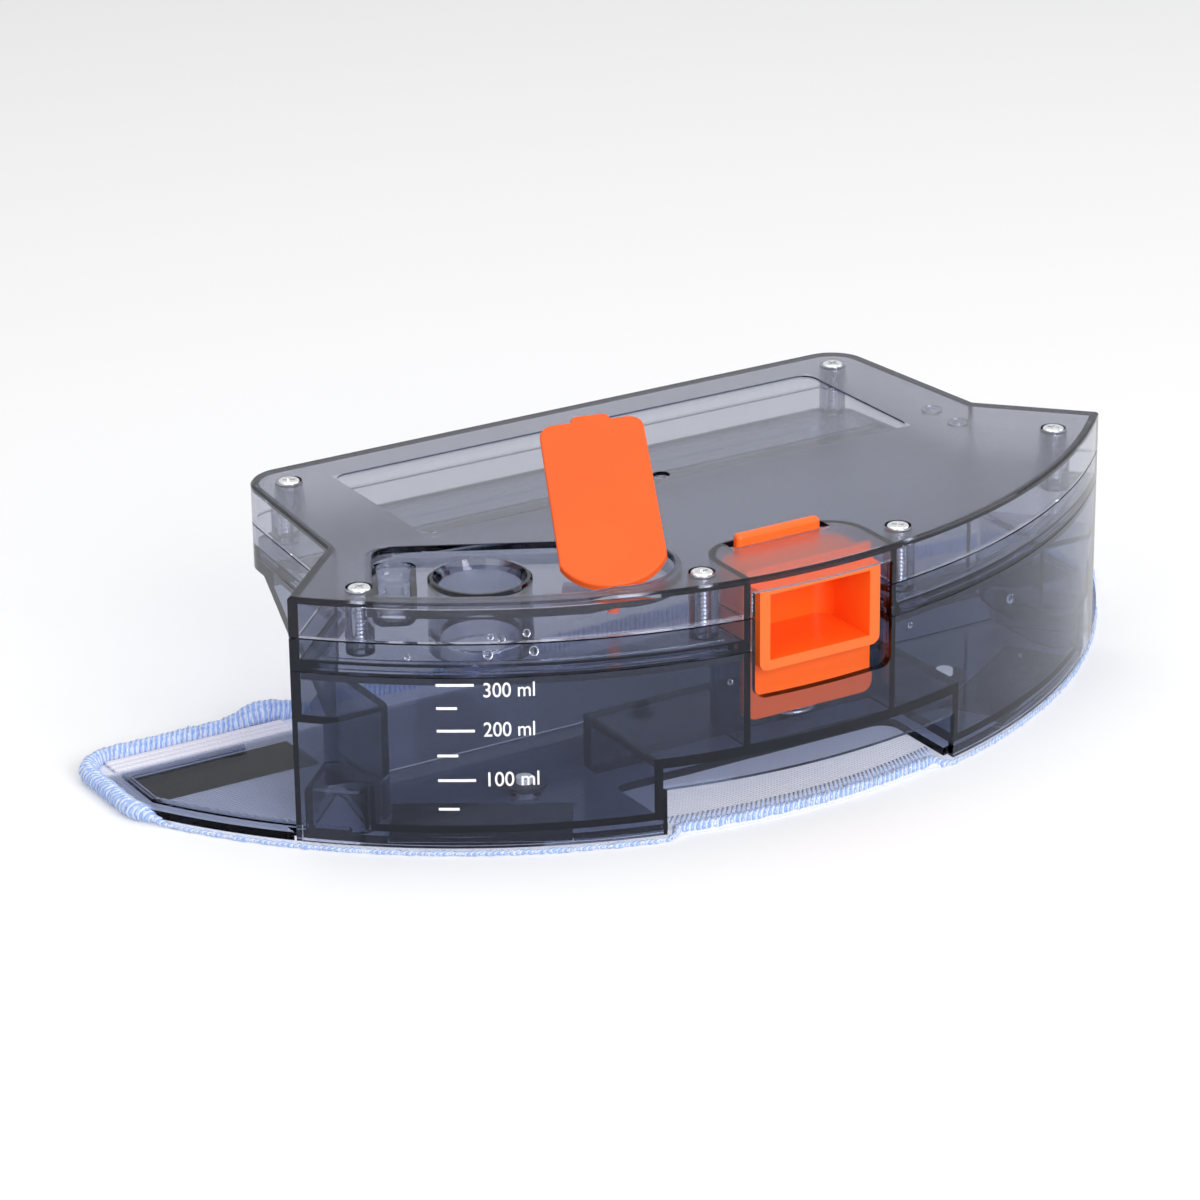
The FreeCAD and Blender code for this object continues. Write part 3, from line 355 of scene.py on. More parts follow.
# %% [markdown]
# The lid's top is lightly frosted, apart from the shallow polished panel behind the filler
# recess. One mask on Object coordinates tells the two apart, and it feeds the roughness.

# %% Clear lid
PANEL_HALF = 74.0 * MM
PANEL_FRONT = 4.3 * MM
PANEL_REAR = 54.0 * MM
lid_finish = Finish("clear_lid")
lid_x, lid_y, lid_z = lid_finish.parts_of(lid_finish.place())
in_panel = lid_x.maths("ABSOLUTE").maths("LESS_THAN", PANEL_HALF)
in_panel = in_panel * lid_y.maths("GREATER_THAN", PANEL_FRONT) * lid_y.maths("LESS_THAN", PANEL_REAR)
frosted = lid_z.maths("GREATER_THAN", LID_TOP - 0.3 * MM) * (1 - in_panel)
lid_finish.depth = lid_finish.node("ShaderNodeVolumeAbsorption", inputs={"Color": SMOKE, "Density": 170.0})
clear_lid = lid_finish.surface(
    Base_Color=lid_finish.blend(frosted, colour(0.98, 0.97, 0.99), colour(0.80, 0.79, 0.84)),
    Roughness=frosted * 0.24 + 0.03, IOR=1.49, Transmission_Weight=1.0,
    Specular_IOR_Level=0.6, Specular_Tint=(0.86, 0.86, 1.0, 1.0))

# %% [markdown]
# ## Orange plastic and silicone
# The latch button is a glossy moulded plastic and the flap a matt silicone. Both get a very fine
# grain and a slight drift in colour, which is what keeps a moulded part from looking painted.


# %% Moulded colours
def moulded(name, base, deep, roughness, grain, sheen):
    """Opaque moulded plastic or rubber: colour drift and fine grain."""
    finish = Finish(name)
    drift = finish.noise(25 * MM, 2.0)
    fine = finish.noise(0.35 * MM, 2.0)
    return finish.surface(
        Base_Color=finish.blend(drift, base, deep), Roughness=roughness, Sheen_Weight=sheen,
        Subsurface_Weight=0.0, Normal=finish.bump(fine, grain, 0.05 * MM))


orange_plastic = moulded("orange_plastic", colour(1.0, 0.150, 0.012), colour(0.98, 0.130, 0.01), 0.34, 0.10, 0.0)
orange_silicone = moulded("orange_silicone", colour(0.93, 0.118, 0.006), colour(0.90, 0.102, 0.005), 0.6, 0.25, 0.0)
seal_rubber = moulded("seal_rubber", colour(0.012, 0.013, 0.018), colour(0.02, 0.02, 0.026), 0.45, 0.2, 0.0)

# %% Steel
steel_finish = Finish("screw_steel")
scratches = steel_finish.noise(0.5 * MM, 4.0)
screw_steel = steel_finish.surface(
    Base_Color=colour(0.86, 0.86, 0.88), Metallic=1.0, Roughness=scratches * 0.15 + 0.18)

# %% [markdown]
# ## Cloths and tapes
# The mop cloth is a white twill, so its bump is a set of slanting ribs broken up by a second set
# of threads. The hook strips are black with a fine grid of hooks.


# %% Cloth finishes
def woven(name, light, dark, pitch, slant, depth, sheen=0.25):
    """A weave from two crossed sets of threads on Object coordinates, painted darker where the threads run low."""
    finish = Finish(name)
    x, y, z = finish.parts_of(finish.place())
    turn = 2 * math.pi / pitch
    warp = ((x * math.cos(slant) + y * math.sin(slant)) * turn).maths("SINE")
    weft = ((y * math.cos(slant) - x * math.sin(slant)) * (turn * 0.55)).maths("SINE")
    height = warp * 0.40 + weft * 0.06 + 0.5
    fuzz = finish.noise(0.6 * MM, 3.0)
    # The colour follows the threads' height: where the threads run low it is darker, a painted shade in the grooves,
    # and the fuzz noise varies the tone at random on top.
    return finish.surface(
        Base_Color=finish.blend(height * 0.6 + fuzz * 0.4, dark, light), Roughness=0.95, Sheen_Weight=sheen,
        Specular_IOR_Level=sheen * 0.8, Normal=finish.bump(height + fuzz * 0.3, 0.8, depth))


cloth_weave = woven("cloth_weave", colour(0.90, 0.91, 0.99), colour(0.76, 0.78, 0.92), 0.95 * MM, 0.30, 0.28 * MM)
hook_tape = woven("hook_tape", colour(0.010, 0.007, 0.008), colour(0.006, 0.004, 0.005), 0.45 * MM, 0.0, 0.04 * MM, 0.0)
elastic_webbing = woven("elastic_webbing", colour(0.86, 0.84, 0.90), colour(0.66, 0.65, 0.76), 0.5 * MM, 1.2, 0.06 * MM)
wick_felt = woven("wick_felt", colour(0.85, 0.85, 0.83), colour(0.7, 0.7, 0.68), 0.5 * MM, 0.3, 0.1 * MM)


def thread(name, light, deep):
    """Fluffy sewing thread: a soft drift between two shades."""
    finish = Finish(name)
    fuzz = finish.noise(0.9 * MM, 3.0)
    return finish.surface(
        Base_Color=finish.blend(fuzz, deep, light), Roughness=0.9, Sheen_Weight=0.3,
        Specular_IOR_Level=0.2, Normal=finish.bump(finish.noise(0.25 * MM, 2.0), 0.5, 0.1 * MM))


blue_thread = thread("blue_thread", colour(0.42, 0.58, 0.92), colour(0.22, 0.36, 0.76))
cross_thread = thread("cross_thread", colour(0.60, 0.72, 0.95), colour(0.34, 0.48, 0.84))
pale_thread = thread("pale_thread", colour(0.86, 0.90, 0.98), colour(0.62, 0.70, 0.90))
white_ink = Finish("white_ink").surface(Base_Color=colour(0.86, 0.86, 0.86), Roughness=0.5)
water_finish = Finish("water")
water_ripple = water_finish.noise(2 * MM, 1.0)
clear_water = water_finish.surface(
    Base_Color=colour(0.97, 0.98, 1.0), Roughness=0.0, IOR=1.33, Transmission_Weight=1.0,
    Normal=water_finish.bump(water_ripple, 0.05, 0.05 * MM))

# %% [markdown]
# ## Dressing the CAD nodes
# A CAD node whose shape is right only needs a better finish, set on its object's slots.

# %% Finishes on CAD nodes
FINISHES = {
    "lower_tub": clear_tub, "middle_frame": clear_frame, "top_cover": clear_lid, "mop_plate": clear_plate,
    "tank_gasket": seal_rubber, "cover_screws": screw_steel, "latch_spring": screw_steel,
    "latch_button": orange_plastic, "filler_flap": orange_silicone, "flap_stem": orange_silicone,
    "air_vent_valve": seal_rubber, "hook_strip_right": hook_tape, "hook_strip_left": hook_tape,
    "hook_strip_front_right": hook_tape, "hook_strip_front_left": hook_tape,
    "outlet_seal_right": seal_rubber, "outlet_seal_left": seal_rubber,
    "outlet_wick_right": wick_felt, "outlet_wick_left": wick_felt,
    "mop_cloth": cloth_weave, "cloth_edging": blue_thread,
    "elastic_band_right": elastic_webbing, "elastic_band_left": elastic_webbing,
}
for node, finish in FINISHES.items():
    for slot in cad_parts[node].material_slots:
        slot.material = finish
print("dressed", len(FINISHES), "of", len(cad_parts))

# %% [markdown]
# ## The mop cloth
# A flat pad of white twill, cut to the plate's outline with rounded corners. Its edge is pressed
# thin by the sewing, so the top face is inset and the rim left lower. The outline is worked out
# once, because the sewn edge follows the same line.


# %% Cloth outline
CLOTH_HALF = 151.5 * MM
CLOTH_REAR = 59.5 * MM
CLOTH_FRONT_RADIUS = 171.5 * MM
CLOTH_CORNER = 12.0 * MM
CORNER_STEPS = 12
FRONT_STEPS = 200
REAR_STEPS = 70
NOTCH_FROM = 42.0 * MM
NOTCH_TO = 38.0 * MM
NOTCH_PULL = 2.7 * MM


def smooth_step(value):
    """A ramp from 0 to 1 with soft ends."""
    value = min(max(value, 0.0), 1.0)
    return value * value * (3 - 2 * value)


def notch_share(x):
    """1 where the notch under the latch leaves the cloth's front edge bare, and 0 beside it."""
    return smooth_step((NOTCH_FROM - abs(x)) / (NOTCH_FROM - NOTCH_TO))


def cloth_outline(inward):
    """Points round the cloth's edge, moved inwards, anticlockwise from the front's left corner."""
    half = CLOTH_HALF - inward
    rear = CLOTH_REAR - inward
    radius = CLOTH_FRONT_RADIUS - inward
    corner = CLOTH_CORNER - inward
    turn_x = half - corner
    reach = radius - corner
    turn_y = ARC_CENTRE.y - math.sqrt(reach ** 2 - turn_x ** 2)
    front_turn = math.asin(turn_x / reach)
    points = []
    for step in range(FRONT_STEPS + 1):
        angle = front_turn * (2 * step / FRONT_STEPS - 1)
        drawn = radius - NOTCH_PULL * notch_share(radius * math.sin(angle))
        points.append((drawn * math.sin(angle), ARC_CENTRE.y - drawn * math.cos(angle)))
    rounds = (
        (turn_x, turn_y, front_turn - math.pi / 2, 0.0),
        (turn_x, rear - corner, 0.0, math.pi / 2),
        (-turn_x, rear - corner, math.pi / 2, math.pi),
        (-turn_x, turn_y, math.pi, 3 * math.pi / 2 - front_turn),
    )
    for middle_x, middle_y, start, end in rounds:
        for step in range(1 if start < 0 else 0, CORNER_STEPS + 1):
            angle = start + (end - start) * step / CORNER_STEPS
            points.append((middle_x + corner * math.cos(angle), middle_y + corner * math.sin(angle)))
        if middle_x > 0 and start == 0.0:
            points.extend((turn_x * (1 - 2 * step / REAR_STEPS), rear) for step in range(1, REAR_STEPS))
    return points[:-1]


print("outline points", len(cloth_outline(0.0)))

# %% Mop cloth
CLOTH_INSIDE = 1.6 * MM
RIM_LOW = 1.1 * MM
RIM_HIGH = 1.2 * MM
PRESSED_WIDE = 4.2 * MM
corners = [(x, y, 0.1 * MM) for x, y in cloth_outline(CLOTH_INSIDE)]
cloth_mesh = bpy.data.meshes.new("cloth_cut")
cloth_mesh.from_pydata(corners, [], [list(range(len(corners)))])
cloth = bpy.data.objects.new("cloth_cut", cloth_mesh)
bpy.context.collection.objects.link(cloth)
pick_only(cloth)
bpy.ops.object.mode_set(mode="EDIT")
bpy.ops.mesh.select_all(action="SELECT")
bpy.ops.mesh.extrude_region_move(TRANSFORM_OT_translate={"value": (0, 0, RIM_LOW)})
bpy.ops.mesh.inset(thickness=PRESSED_WIDE, depth=0.0)
bpy.ops.transform.translate(value=(0, 0, CLOTH_TOP - 0.06 * MM - RIM_HIGH))
bpy.ops.mesh.select_all(action="SELECT")
bpy.ops.mesh.normals_make_consistent(inside=False)
bpy.ops.object.mode_set(mode="OBJECT")
settle(cloth, "mop_cloth_twill", cloth_weave, "tank")
bpy.ops.object.shade_smooth_by_angle(angle=math.radians(30))
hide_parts("mop_cloth")

# %% [markdown]
# ## The overlocked edge
# The edge is bound by hundreds of slanting thread loops over a soft roll. One loop is modelled,
# an Array repeats it, and a Curve modifier lays the row along the cloth's outline. The curve's
# own radius makes the roll thick behind the wings and thin under the front.


# %% Edge path
ROLL_RADIUS = 2.45 * MM
THIN_SHARE = 0.24
NOTCH_SHARE = 0.55
ROLL_HEIGHT = 2.6 * MM
THIN_HEIGHT = 0.75 * MM
NOTCH_HEIGHT = 1.75 * MM
THIN_FRONT_RADIUS = 170.3 * MM
THIN_UNTIL = 13.0 * MM
THICK_FROM = 23.0 * MM
GATHER_PLACE = Vector((-95.5, 57.5, 0.0)) * MM
GATHER_REACH = 12.0 * MM
GATHER_SWELL = 0.42
GATHER_LIFT = 1.7 * MM


def edge_path(name):
    """The roll's centre line as a closed curve whose radius sets the roll's thickness."""
    line = bpy.data.curves.new(name, "CURVE")
    line.dimensions = "3D"
    line.twist_mode = "Z_UP"
    spline = line.splines.new("POLY")
    places = cloth_outline(ROLL_RADIUS)
    spline.points.add(len(places) - 1)
    spline.use_cyclic_u = True
    for point, (x, y) in zip(spline.points, places):
        thick = smooth_step((y - THIN_UNTIL) / (THICK_FROM - THIN_UNTIL))
        from_centre = Vector((x, y - ARC_CENTRE.y, 0))
        in_notch = notch_share(x) if y < 0 else 0.0
        share = THIN_SHARE + (NOTCH_SHARE - THIN_SHARE) * in_notch
        pulled = from_centre.normalized() * (THIN_FRONT_RADIUS - ROLL_RADIUS * share - NOTCH_PULL * in_notch)
        thin_place = Vector((pulled.x, pulled.y + ARC_CENTRE.y, 0))
        place = thin_place.lerp(Vector((x, y, 0)), thick)
        near = smooth_step(1 - (place - GATHER_PLACE).length / GATHER_REACH)
        low = THIN_HEIGHT + (NOTCH_HEIGHT - THIN_HEIGHT) * in_notch
        height = low + (ROLL_HEIGHT - low) * thick + GATHER_LIFT * near
        point.co = (place.x, place.y, height, 1)
        point.radius = (share + (1 - share) * thick) * (1 + GATHER_SWELL * near)
    path = bpy.data.objects.new(name, line)
    bpy.context.collection.objects.link(path)
    return path


edge_line = edge_path("edge_line")
edge_long = sum(
    (Vector(edge_line.data.splines[0].points[i].co[:3]) - Vector(edge_line.data.splines[0].points[i - 1].co[:3])).length
    for i in range(len(edge_line.data.splines[0].points)))
print("edge length mm", round(edge_long / MM))

# %% Soft roll under the threads
roll = edge_path("roll_line")
roll.data.bevel_depth = ROLL_RADIUS - 0.35 * MM
roll.data.bevel_resolution = 2
pick_only(roll)
bpy.ops.object.convert(target="MESH")
roll = bpy.context.object
settle(roll, "edge_roll", pale_thread, "tank")
bpy.ops.object.shade_smooth()
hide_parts("cloth_edging")


# %% Thread loops
LOOP_PITCH = 1.5 * MM
LOOP_THICK = 0.34 * MM
LOOP_RUFFLE = 1.1 * MM
ruffles = bpy.data.textures.new("ruffles", "CLOUDS")
ruffles.noise_scale = 1.6 * MM


def loop_row(name, offset, slant, finish):
    """A row of slanted loops round the roll, starting at an offset along it."""
    bpy.ops.object.select_all(action="DESELECT")
    bpy.ops.mesh.primitive_torus_add(
        major_radius=ROLL_RADIUS - LOOP_THICK, minor_radius=LOOP_THICK, major_segments=12, minor_segments=4,
        rotation=(0, math.pi / 2, 0))
    row = bpy.context.object
    bpy.ops.object.transform_apply(location=False, rotation=True, scale=False)
    bpy.ops.object.mode_set(mode="EDIT")
    bpy.ops.mesh.select_all(action="SELECT")
    bpy.ops.transform.rotate(value=math.radians(slant), orient_axis="Z", center_override=(0, 0, 0))
    bpy.ops.transform.resize(value=(1.0, 1 / math.cos(math.radians(slant)), 1.0), center_override=(0, 0, 0))
    bpy.ops.transform.translate(value=(offset, 0, 0))
    bpy.ops.object.mode_set(mode="OBJECT")
    count = int(edge_long / LOOP_PITCH)
    repeat = row.modifiers.new("repeat", "ARRAY")
    repeat.count = count
    repeat.use_relative_offset = False
    repeat.use_constant_offset = True
    repeat.constant_offset_displace = (edge_long / count, 0, 0)
    follow = row.modifiers.new("follow", "CURVE")
    follow.object = edge_line
    follow.deform_axis = "POS_X"
    ruffle = row.modifiers.new("ruffle", "DISPLACE")
    ruffle.texture = ruffles
    ruffle.texture_coords = "LOCAL"
    ruffle.strength = LOOP_RUFFLE
    apply_all(row)
    settle(row, name, finish, "tank")
    bpy.ops.object.shade_smooth()
    return row


blue_loops = loop_row("edge_loops_blue", 0.0, 42, blue_thread)
pale_loops = loop_row("edge_loops_pale", LOOP_PITCH / 2, 33, pale_thread)
cross_loops = loop_row("edge_loops_cross", LOOP_PITCH / 4, -18, cross_thread)
bpy.data.objects.remove(edge_line)

# %% [markdown]
# ## The chain stitch
# A row of short blue stitches holds the binding down, a little inside it. It shows in the notch
# under the latch, where the plate leaves the cloth bare.


# %% Chain stitch
STITCH_RADIUS = 162.2 * MM
STITCH_PITCH = 1.35 * MM
STITCH_HALF = 41.0 * MM
bpy.ops.object.select_all(action="DESELECT")
bpy.ops.mesh.primitive_cylinder_add(vertices=6, radius=0.27 * MM, depth=3.9 * MM, rotation=(math.pi / 2, 0, 0))
stitches = bpy.context.object
bpy.ops.object.transform_apply(location=False, rotation=True, scale=False)
bpy.ops.object.mode_set(mode="EDIT")
bpy.ops.mesh.select_all(action="SELECT")
bpy.ops.mesh.subdivide(number_cuts=1)
bpy.ops.transform.rotate(value=math.radians(28), orient_axis="Z", center_override=(0, 0, 0))
bpy.ops.object.mode_set(mode="OBJECT")
span = 2 * math.asin(STITCH_HALF / STITCH_RADIUS)
stitch_count = int(span * STITCH_RADIUS / STITCH_PITCH)
one_stitch = stitches
row = []
for index in range(stitch_count):
    angle = span * ((index + 0.5) / stitch_count - 0.5)
    pick_only(one_stitch)
    bpy.ops.object.duplicate()
    copy = bpy.context.object
    copy.rotation_euler = (0, 0, angle)
    copy.location = (
        STITCH_RADIUS * math.sin(angle), ARC_CENTRE.y - STITCH_RADIUS * math.cos(angle), CLOTH_TOP)
    row.append(copy)
bpy.data.objects.remove(one_stitch)
pick_only(*row)
bpy.ops.object.join()
stitches = bpy.context.object
settle(stitches, "chain_stitch", cross_thread, "tank")
bpy.ops.object.shade_smooth()

# %% [markdown]
# ## The elastic bands
# Each wing's elastic is a ribbed webbing: four soft cords side by side. One cord is a bar with
# rounded long edges, and an Array sets four of them next to each other.

# %% Elastic bands
BAND_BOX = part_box("elastic_band_right")
RIBS = 4
band_wide = BAND_BOX[1][1] - BAND_BOX[0][1] + 1.5 * MM
rib_wide = band_wide / RIBS
band_tall = BAND_BOX[1][2] - BAND_BOX[0][2]
for side, node in ((1, "elastic_band_right"), (-1, "elastic_band_left")):
    low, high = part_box(node)
    middle_x = (low[0] + high[0]) / 2
    bpy.ops.object.select_all(action="DESELECT")
    bpy.ops.mesh.primitive_cube_add(size=1.0, location=(middle_x, low[1] + rib_wide / 2, low[2] + band_tall / 2))
    band = bpy.context.object
    band.scale = (high[0] - low[0], rib_wide * 0.90, band_tall)
    bpy.ops.object.transform_apply(location=True, rotation=False, scale=True)
    bpy.ops.object.mode_set(mode="EDIT")
    bpy.ops.mesh.select_all(action="SELECT")
    bpy.ops.mesh.bevel(offset=0.56 * MM, segments=4, affect="EDGES")
    bpy.ops.object.mode_set(mode="OBJECT")
    across = band.modifiers.new("ribs", "ARRAY")
    across.count = RIBS
    across.use_relative_offset = False
    across.use_constant_offset = True
    across.constant_offset_displace = (0, rib_wide, 0)
    apply_all(band)
    settle(band, node + "_ribbed", elastic_webbing, "tank")
    bpy.ops.object.shade_smooth()
    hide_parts(node)

# %% [markdown]
# ## The six screws
# Each is a pan head with a cross slot and a threaded shank, which shows through the clear post.
# The thread is one tooth profile that a Screw modifier winds down the shank.

# %% One screw
HEAD_RADIUS = 2.9 * MM
HEAD_LOW = LID_TOP - 1.3 * MM
HEAD_TALL = 1.5 * MM
THREAD_ROOT = 0.92 * MM
THREAD_CREST = 1.24 * MM
THREAD_PITCH = 1.05 * MM
THREAD_TURNS = 12
tooth = bpy.data.meshes.new("tooth")
tooth.from_pydata(
    [(THREAD_ROOT, 0, 0), (THREAD_CREST, 0, THREAD_PITCH * 0.5), (THREAD_ROOT, 0, THREAD_PITCH)],
    [(0, 1), (1, 2)], [])
thread_shank = bpy.data.objects.new("thread", tooth)
bpy.context.collection.objects.link(thread_shank)
wind = thread_shank.modifiers.new("wind", "SCREW")
wind.screw_offset = THREAD_PITCH
wind.iterations = THREAD_TURNS
wind.steps = 14
wind.render_steps = 14
wind.use_merge_vertices = True
wind.merge_threshold = 0.00001
apply_all(thread_shank)
bpy.ops.object.mode_set(mode="EDIT")
bpy.ops.mesh.select_all(action="SELECT")
bpy.ops.mesh.remove_doubles(threshold=0.00001)
bpy.ops.mesh.select_all(action="DESELECT")
bpy.ops.mesh.select_mode(type="EDGE")
bpy.ops.mesh.select_non_manifold()
bpy.ops.mesh.fill()
bpy.ops.mesh.select_all(action="SELECT")
bpy.ops.mesh.normals_make_consistent(inside=False)
bpy.ops.transform.translate(value=(0, 0, HEAD_LOW - THREAD_PITCH * (THREAD_TURNS + 1) + 0.4 * MM))
bpy.ops.object.mode_set(mode="OBJECT")

bpy.ops.object.select_all(action="DESELECT")
bpy.ops.mesh.primitive_cylinder_add(
    vertices=40, radius=HEAD_RADIUS, depth=HEAD_TALL, location=(0, 0, HEAD_LOW + HEAD_TALL / 2))
head = bpy.context.object
bpy.ops.object.transform_apply(location=True, rotation=False, scale=False)
bpy.ops.object.mode_set(mode="EDIT")
bpy.ops.mesh.select_all(action="DESELECT")
bpy.ops.object.mode_set(mode="OBJECT")
for edge in head.data.edges:
    ends = [head.data.vertices[index].co.z for index in edge.vertices]
    edge.select = min(ends) > HEAD_LOW + HEAD_TALL * 0.9
bpy.ops.object.mode_set(mode="EDIT")
bpy.ops.mesh.bevel(offset=0.75 * MM, segments=4, affect="EDGES")
bpy.ops.object.mode_set(mode="OBJECT")
for turn in (0.0, math.pi / 2):
    bpy.ops.object.select_all(action="DESELECT")
    bpy.ops.mesh.primitive_cube_add(size=1.0, location=(0, 0, LID_TOP + 0.2 * MM), rotation=(0, 0, turn))
    cutter = bpy.context.object
    cutter.scale = (3.2 * MM, 0.75 * MM, 1.7 * MM)
    cut = head.modifiers.new("cross", "BOOLEAN")
    cut.operation = "DIFFERENCE"
    cut.object = cutter
    apply_all(head)
    bpy.data.objects.remove(cutter)
pick_only(head, thread_shank)
bpy.ops.object.join()
one_screw = bpy.context.object
bpy.ops.object.shade_smooth_by_angle(angle=math.radians(35))
print("one screw faces", len(one_screw.data.polygons))

# %% Six screws
SCREW_PLACES = ((84.6, 57.4), (-84.6, 57.4), (104.5, -17.8), (-104.5, -17.8), (29.1, -54.4), (-29.1, -54.4))
SCREW_TURNS = (20, 65, 40, 10, 50, 80)
screws = []
for (x, y), turn in zip(SCREW_PLACES, SCREW_TURNS):
    pick_only(one_screw)
    bpy.ops.object.duplicate()
    screw = bpy.context.object
    screw.location = (x * MM, y * MM, 0)
    screw.rotation_euler = (0, 0, math.radians(turn))
    screws.append(screw)
bpy.data.objects.remove(one_screw)
pick_only(*screws)
bpy.ops.object.join()
screws = bpy.context.object
settle(screws, "pan_head_screws", screw_steel, "tank")
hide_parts("cover_screws")

# %% [markdown]
# ## The latch spring
# A compression spring with closed end turns. The wire's line is worked out turn by turn, so the
# turns lie close at the foot and open higher up.

# %% Latch spring
SPRING_PLACE = Vector((0.0, -49.5, 0.0)) * MM
SPRING_RADIUS = 5.6 * MM
WIRE_RADIUS = 0.5 * MM
spring_low, spring_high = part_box("latch_spring")
spring_foot = spring_low[2] + WIRE_RADIUS + 0.15 * MM
spring_head = spring_high[2] - WIRE_RADIUS - 0.15 * MM
CLOSED_PITCH = 1.25 * MM
CLOSED_TURNS = 3
OPEN_TURNS = 4
TURN_STEPS = 28
wire_line = bpy.data.curves.new("wire_line", "CURVE")
wire_line.dimensions = "3D"
wire = wire_line.splines.new("POLY")
wire_steps = (CLOSED_TURNS + OPEN_TURNS) * TURN_STEPS
wire.points.add(wire_steps)
open_pitch = (spring_head - spring_foot - CLOSED_TURNS * CLOSED_PITCH) / OPEN_TURNS
for step, point in enumerate(wire.points):
    turns = step / TURN_STEPS
    height = spring_foot + min(turns, CLOSED_TURNS) * CLOSED_PITCH + max(turns - CLOSED_TURNS, 0) * open_pitch
    angle = turns * 2 * math.pi
    point.co = (
        SPRING_PLACE.x + SPRING_RADIUS * math.cos(angle), SPRING_PLACE.y + SPRING_RADIUS * math.sin(angle), height, 1)
wire_line.bevel_depth = WIRE_RADIUS
wire_line.bevel_resolution = 2
wire_line.use_fill_caps = True
spring = bpy.data.objects.new("wire_line", wire_line)
bpy.context.collection.objects.link(spring)
pick_only(spring)
bpy.ops.object.convert(target="MESH")
spring = bpy.context.object
settle(spring, "closed_end_spring", screw_steel, "tank")
bpy.ops.object.shade_smooth()
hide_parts("latch_spring")
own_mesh(spring)

# %% [markdown]
# ## The printed scale
# White ink on the outside of the curved front wall. Each mark and each label is thin flat
# geometry that is wrapped round the wall's own radius, so it stays on the wall from every side.


# %% Wrapping round the front wall
INK_RADIUS = FRONT_RADIUS + 0.03 * MM
INK_THICK = 0.05 * MM


def wrap_on_front(piece, start_x, height):
    """Wraps a flat upright piece round the front wall, from start_x along the wall."""
    start = math.asin(start_x / FRONT_RADIUS)
    for vertex in piece.data.vertices:
        angle = start + vertex.co.x / FRONT_RADIUS
        radius = INK_RADIUS + vertex.co.z
        vertex.co = (
            radius * math.sin(angle), ARC_CENTRE.y - radius * math.cos(angle), height + vertex.co.y)


# %% Marks and labels
MARK_LEFT = -94.7 * MM
LONG_MARK = 9.3 * MM
SHORT_MARK = 5.1 * MM
MARK_WIDE = 0.72 * MM
MARKS = ((45.9, LONG_MARK), (39.8, SHORT_MARK), (33.8, LONG_MARK), (27.2, SHORT_MARK), (20.6, LONG_MARK), (12.9, SHORT_MARK))
LABELS = (("300 ml", 44.3), ("200 ml", 33.9), ("100 ml", 20.6))
LABEL_LEFT = -85.1 * MM
LABEL_LONG = 12.5 * MM
ink = []
for height, length in MARKS:
    bpy.ops.object.select_all(action="DESELECT")
    bpy.ops.mesh.primitive_cube_add(size=1.0, location=(length / 2, 0, INK_THICK / 2))
    mark = bpy.context.object
    mark.scale = (length, MARK_WIDE, INK_THICK)
    bpy.ops.object.transform_apply(location=True, rotation=False, scale=True)
    bpy.ops.object.mode_set(mode="EDIT")
    bpy.ops.mesh.select_all(action="SELECT")
    bpy.ops.mesh.subdivide(number_cuts=5)
    bpy.ops.object.mode_set(mode="OBJECT")
    wrap_on_front(mark, MARK_LEFT, height * MM)
    ink.append(mark)
for words, height in LABELS:
    bpy.ops.object.select_all(action="DESELECT")
    bpy.ops.object.text_add()
    label = bpy.context.object
    label.data.body = words
    label.data.extrude = INK_THICK / 2
    label.data.size = 5.4 * MM
    label.data.align_y = "CENTER"
    label.data.offset = 0.03 * MM
    bpy.ops.object.convert(target="MESH")
    label = bpy.context.object
    label.scale = (LABEL_LONG / label.dimensions.x, 1.0, 1.0)
    bpy.ops.object.transform_apply(location=True, rotation=True, scale=True)
    wrap_on_front(label, LABEL_LEFT, height * MM)
    ink.append(label)
pick_only(*ink)
bpy.ops.object.join()
scale = bpy.context.object
settle(scale, "printed_scale", white_ink, "tank")

# %% [markdown]
# ## Water drops
# The tank has just been rinsed. Small drops cling inside the front wall, under the neck and along
# the dark seal. One drop is half a sphere, copied with different sizes.

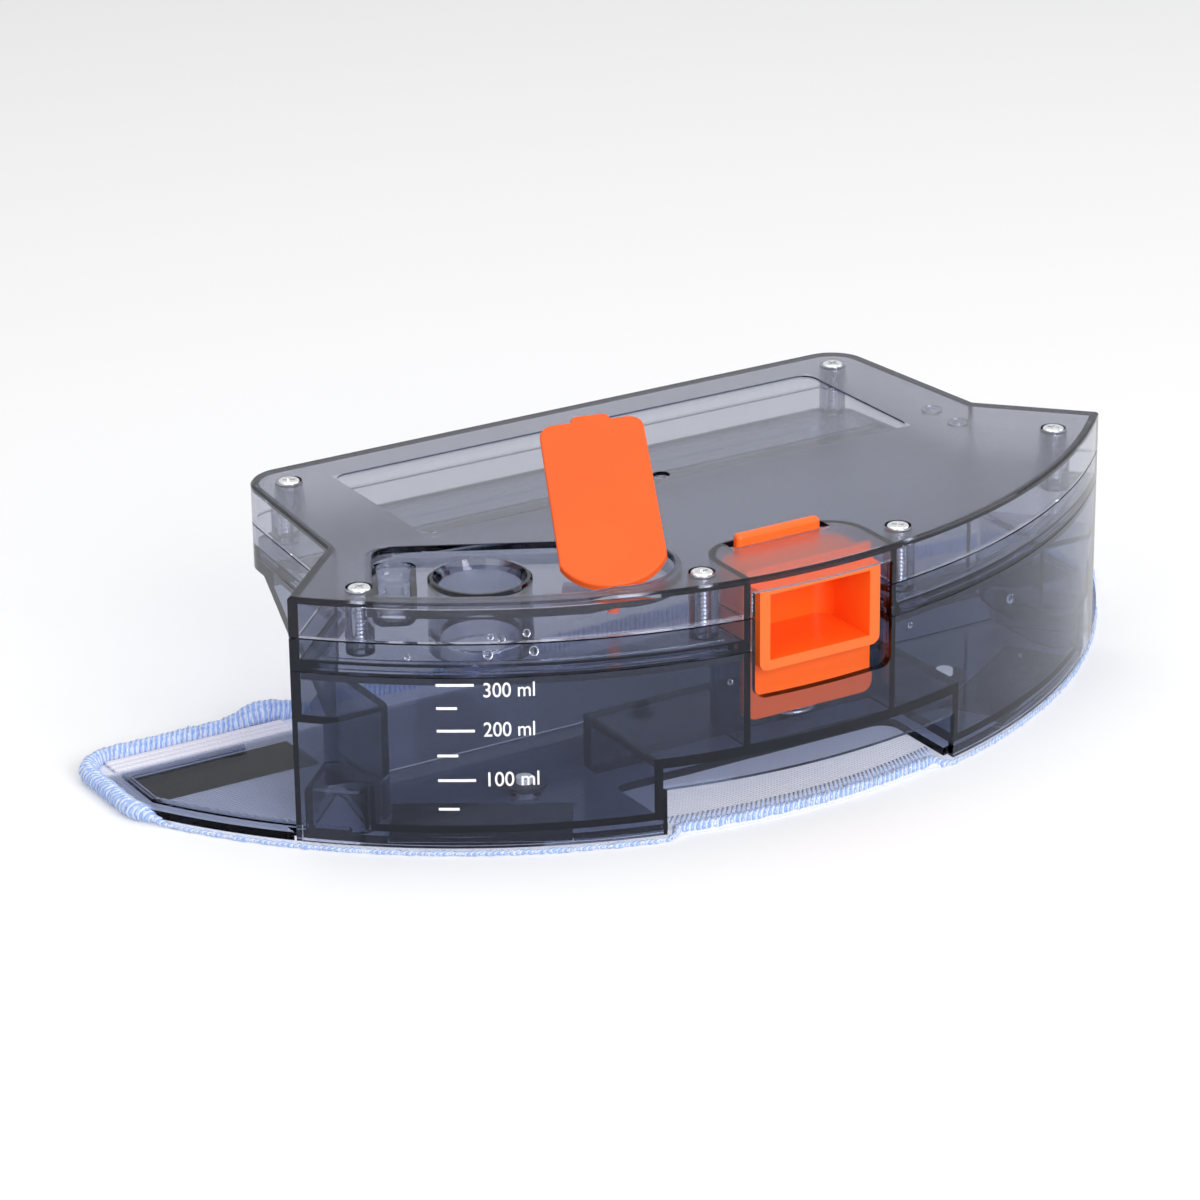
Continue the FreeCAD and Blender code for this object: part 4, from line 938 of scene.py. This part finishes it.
# %% Drops
bpy.ops.object.select_all(action="DESELECT")
bpy.ops.mesh.primitive_uv_sphere_add(segments=16, ring_count=10, radius=1.0 * MM)
one_drop = bpy.context.object
bpy.ops.object.mode_set(mode="EDIT")
bpy.ops.mesh.select_all(action="SELECT")
bpy.ops.mesh.bisect(plane_co=(0, 0, 0), plane_no=(0, 0, 1), use_fill=True, clear_inner=True)
bpy.ops.mesh.select_all(action="SELECT")
bpy.ops.transform.resize(value=(1.0, 1.0, 0.75))
bpy.ops.object.mode_set(mode="OBJECT")
INNER_RADIUS = FRONT_RADIUS - 2.2 * MM
WALL_DROPS = (
    (-82.0, 57.9, 0.75), (-79.6, 57.2, 0.85), (-74.3, 58.6, 0.95), (-82.6, 53.3, 1.2), (-72.8, 53.8, 1.2),
    (-66.0, 46.2, 0.6), (-61.5, 46.4, 0.8), (-57.4, 46.1, 0.5), (-52.8, 46.6, 0.9), (-47.5, 46.3, 0.6),
    (-43.0, 46.5, 0.7), (-38.2, 46.2, 0.5), (30.5, 46.2, 0.8), (34.6, 46.6, 0.6), (38.8, 46.3, 0.9),
    (43.5, 46.6, 0.6), (48.0, 46.2, 1.1), (51.5, 46.5, 0.7), (56.3, 46.4, 0.9), (61.0, 46.2, 0.6),
    (66.8, 37.5, 1.3), (-99.0, 52.5, 0.7), (-26.0, 40.0, 0.7), (27.5, 43.0, 0.8), (72.0, 20.0, 0.7),
)
drops = []
for x, z, size in WALL_DROPS:
    angle = math.asin(x * MM / INNER_RADIUS)
    pick_only(one_drop)
    bpy.ops.object.duplicate()
    drop = bpy.context.object
    drop.scale = (size, size * 1.15, size)
    drop.rotation_euler = (math.radians(-90), 0, angle)
    reach = INNER_RADIUS + 0.05 * MM
    drop.location = (reach * math.sin(angle), ARC_CENTRE.y - reach * math.cos(angle), z * MM)
    drops.append(drop)
bpy.data.objects.remove(one_drop)
pick_only(*drops)
bpy.ops.object.join()
drops = bpy.context.object
settle(drops, "water_drops", clear_water, "tank")
bpy.ops.object.shade_smooth_by_angle(angle=math.radians(50))
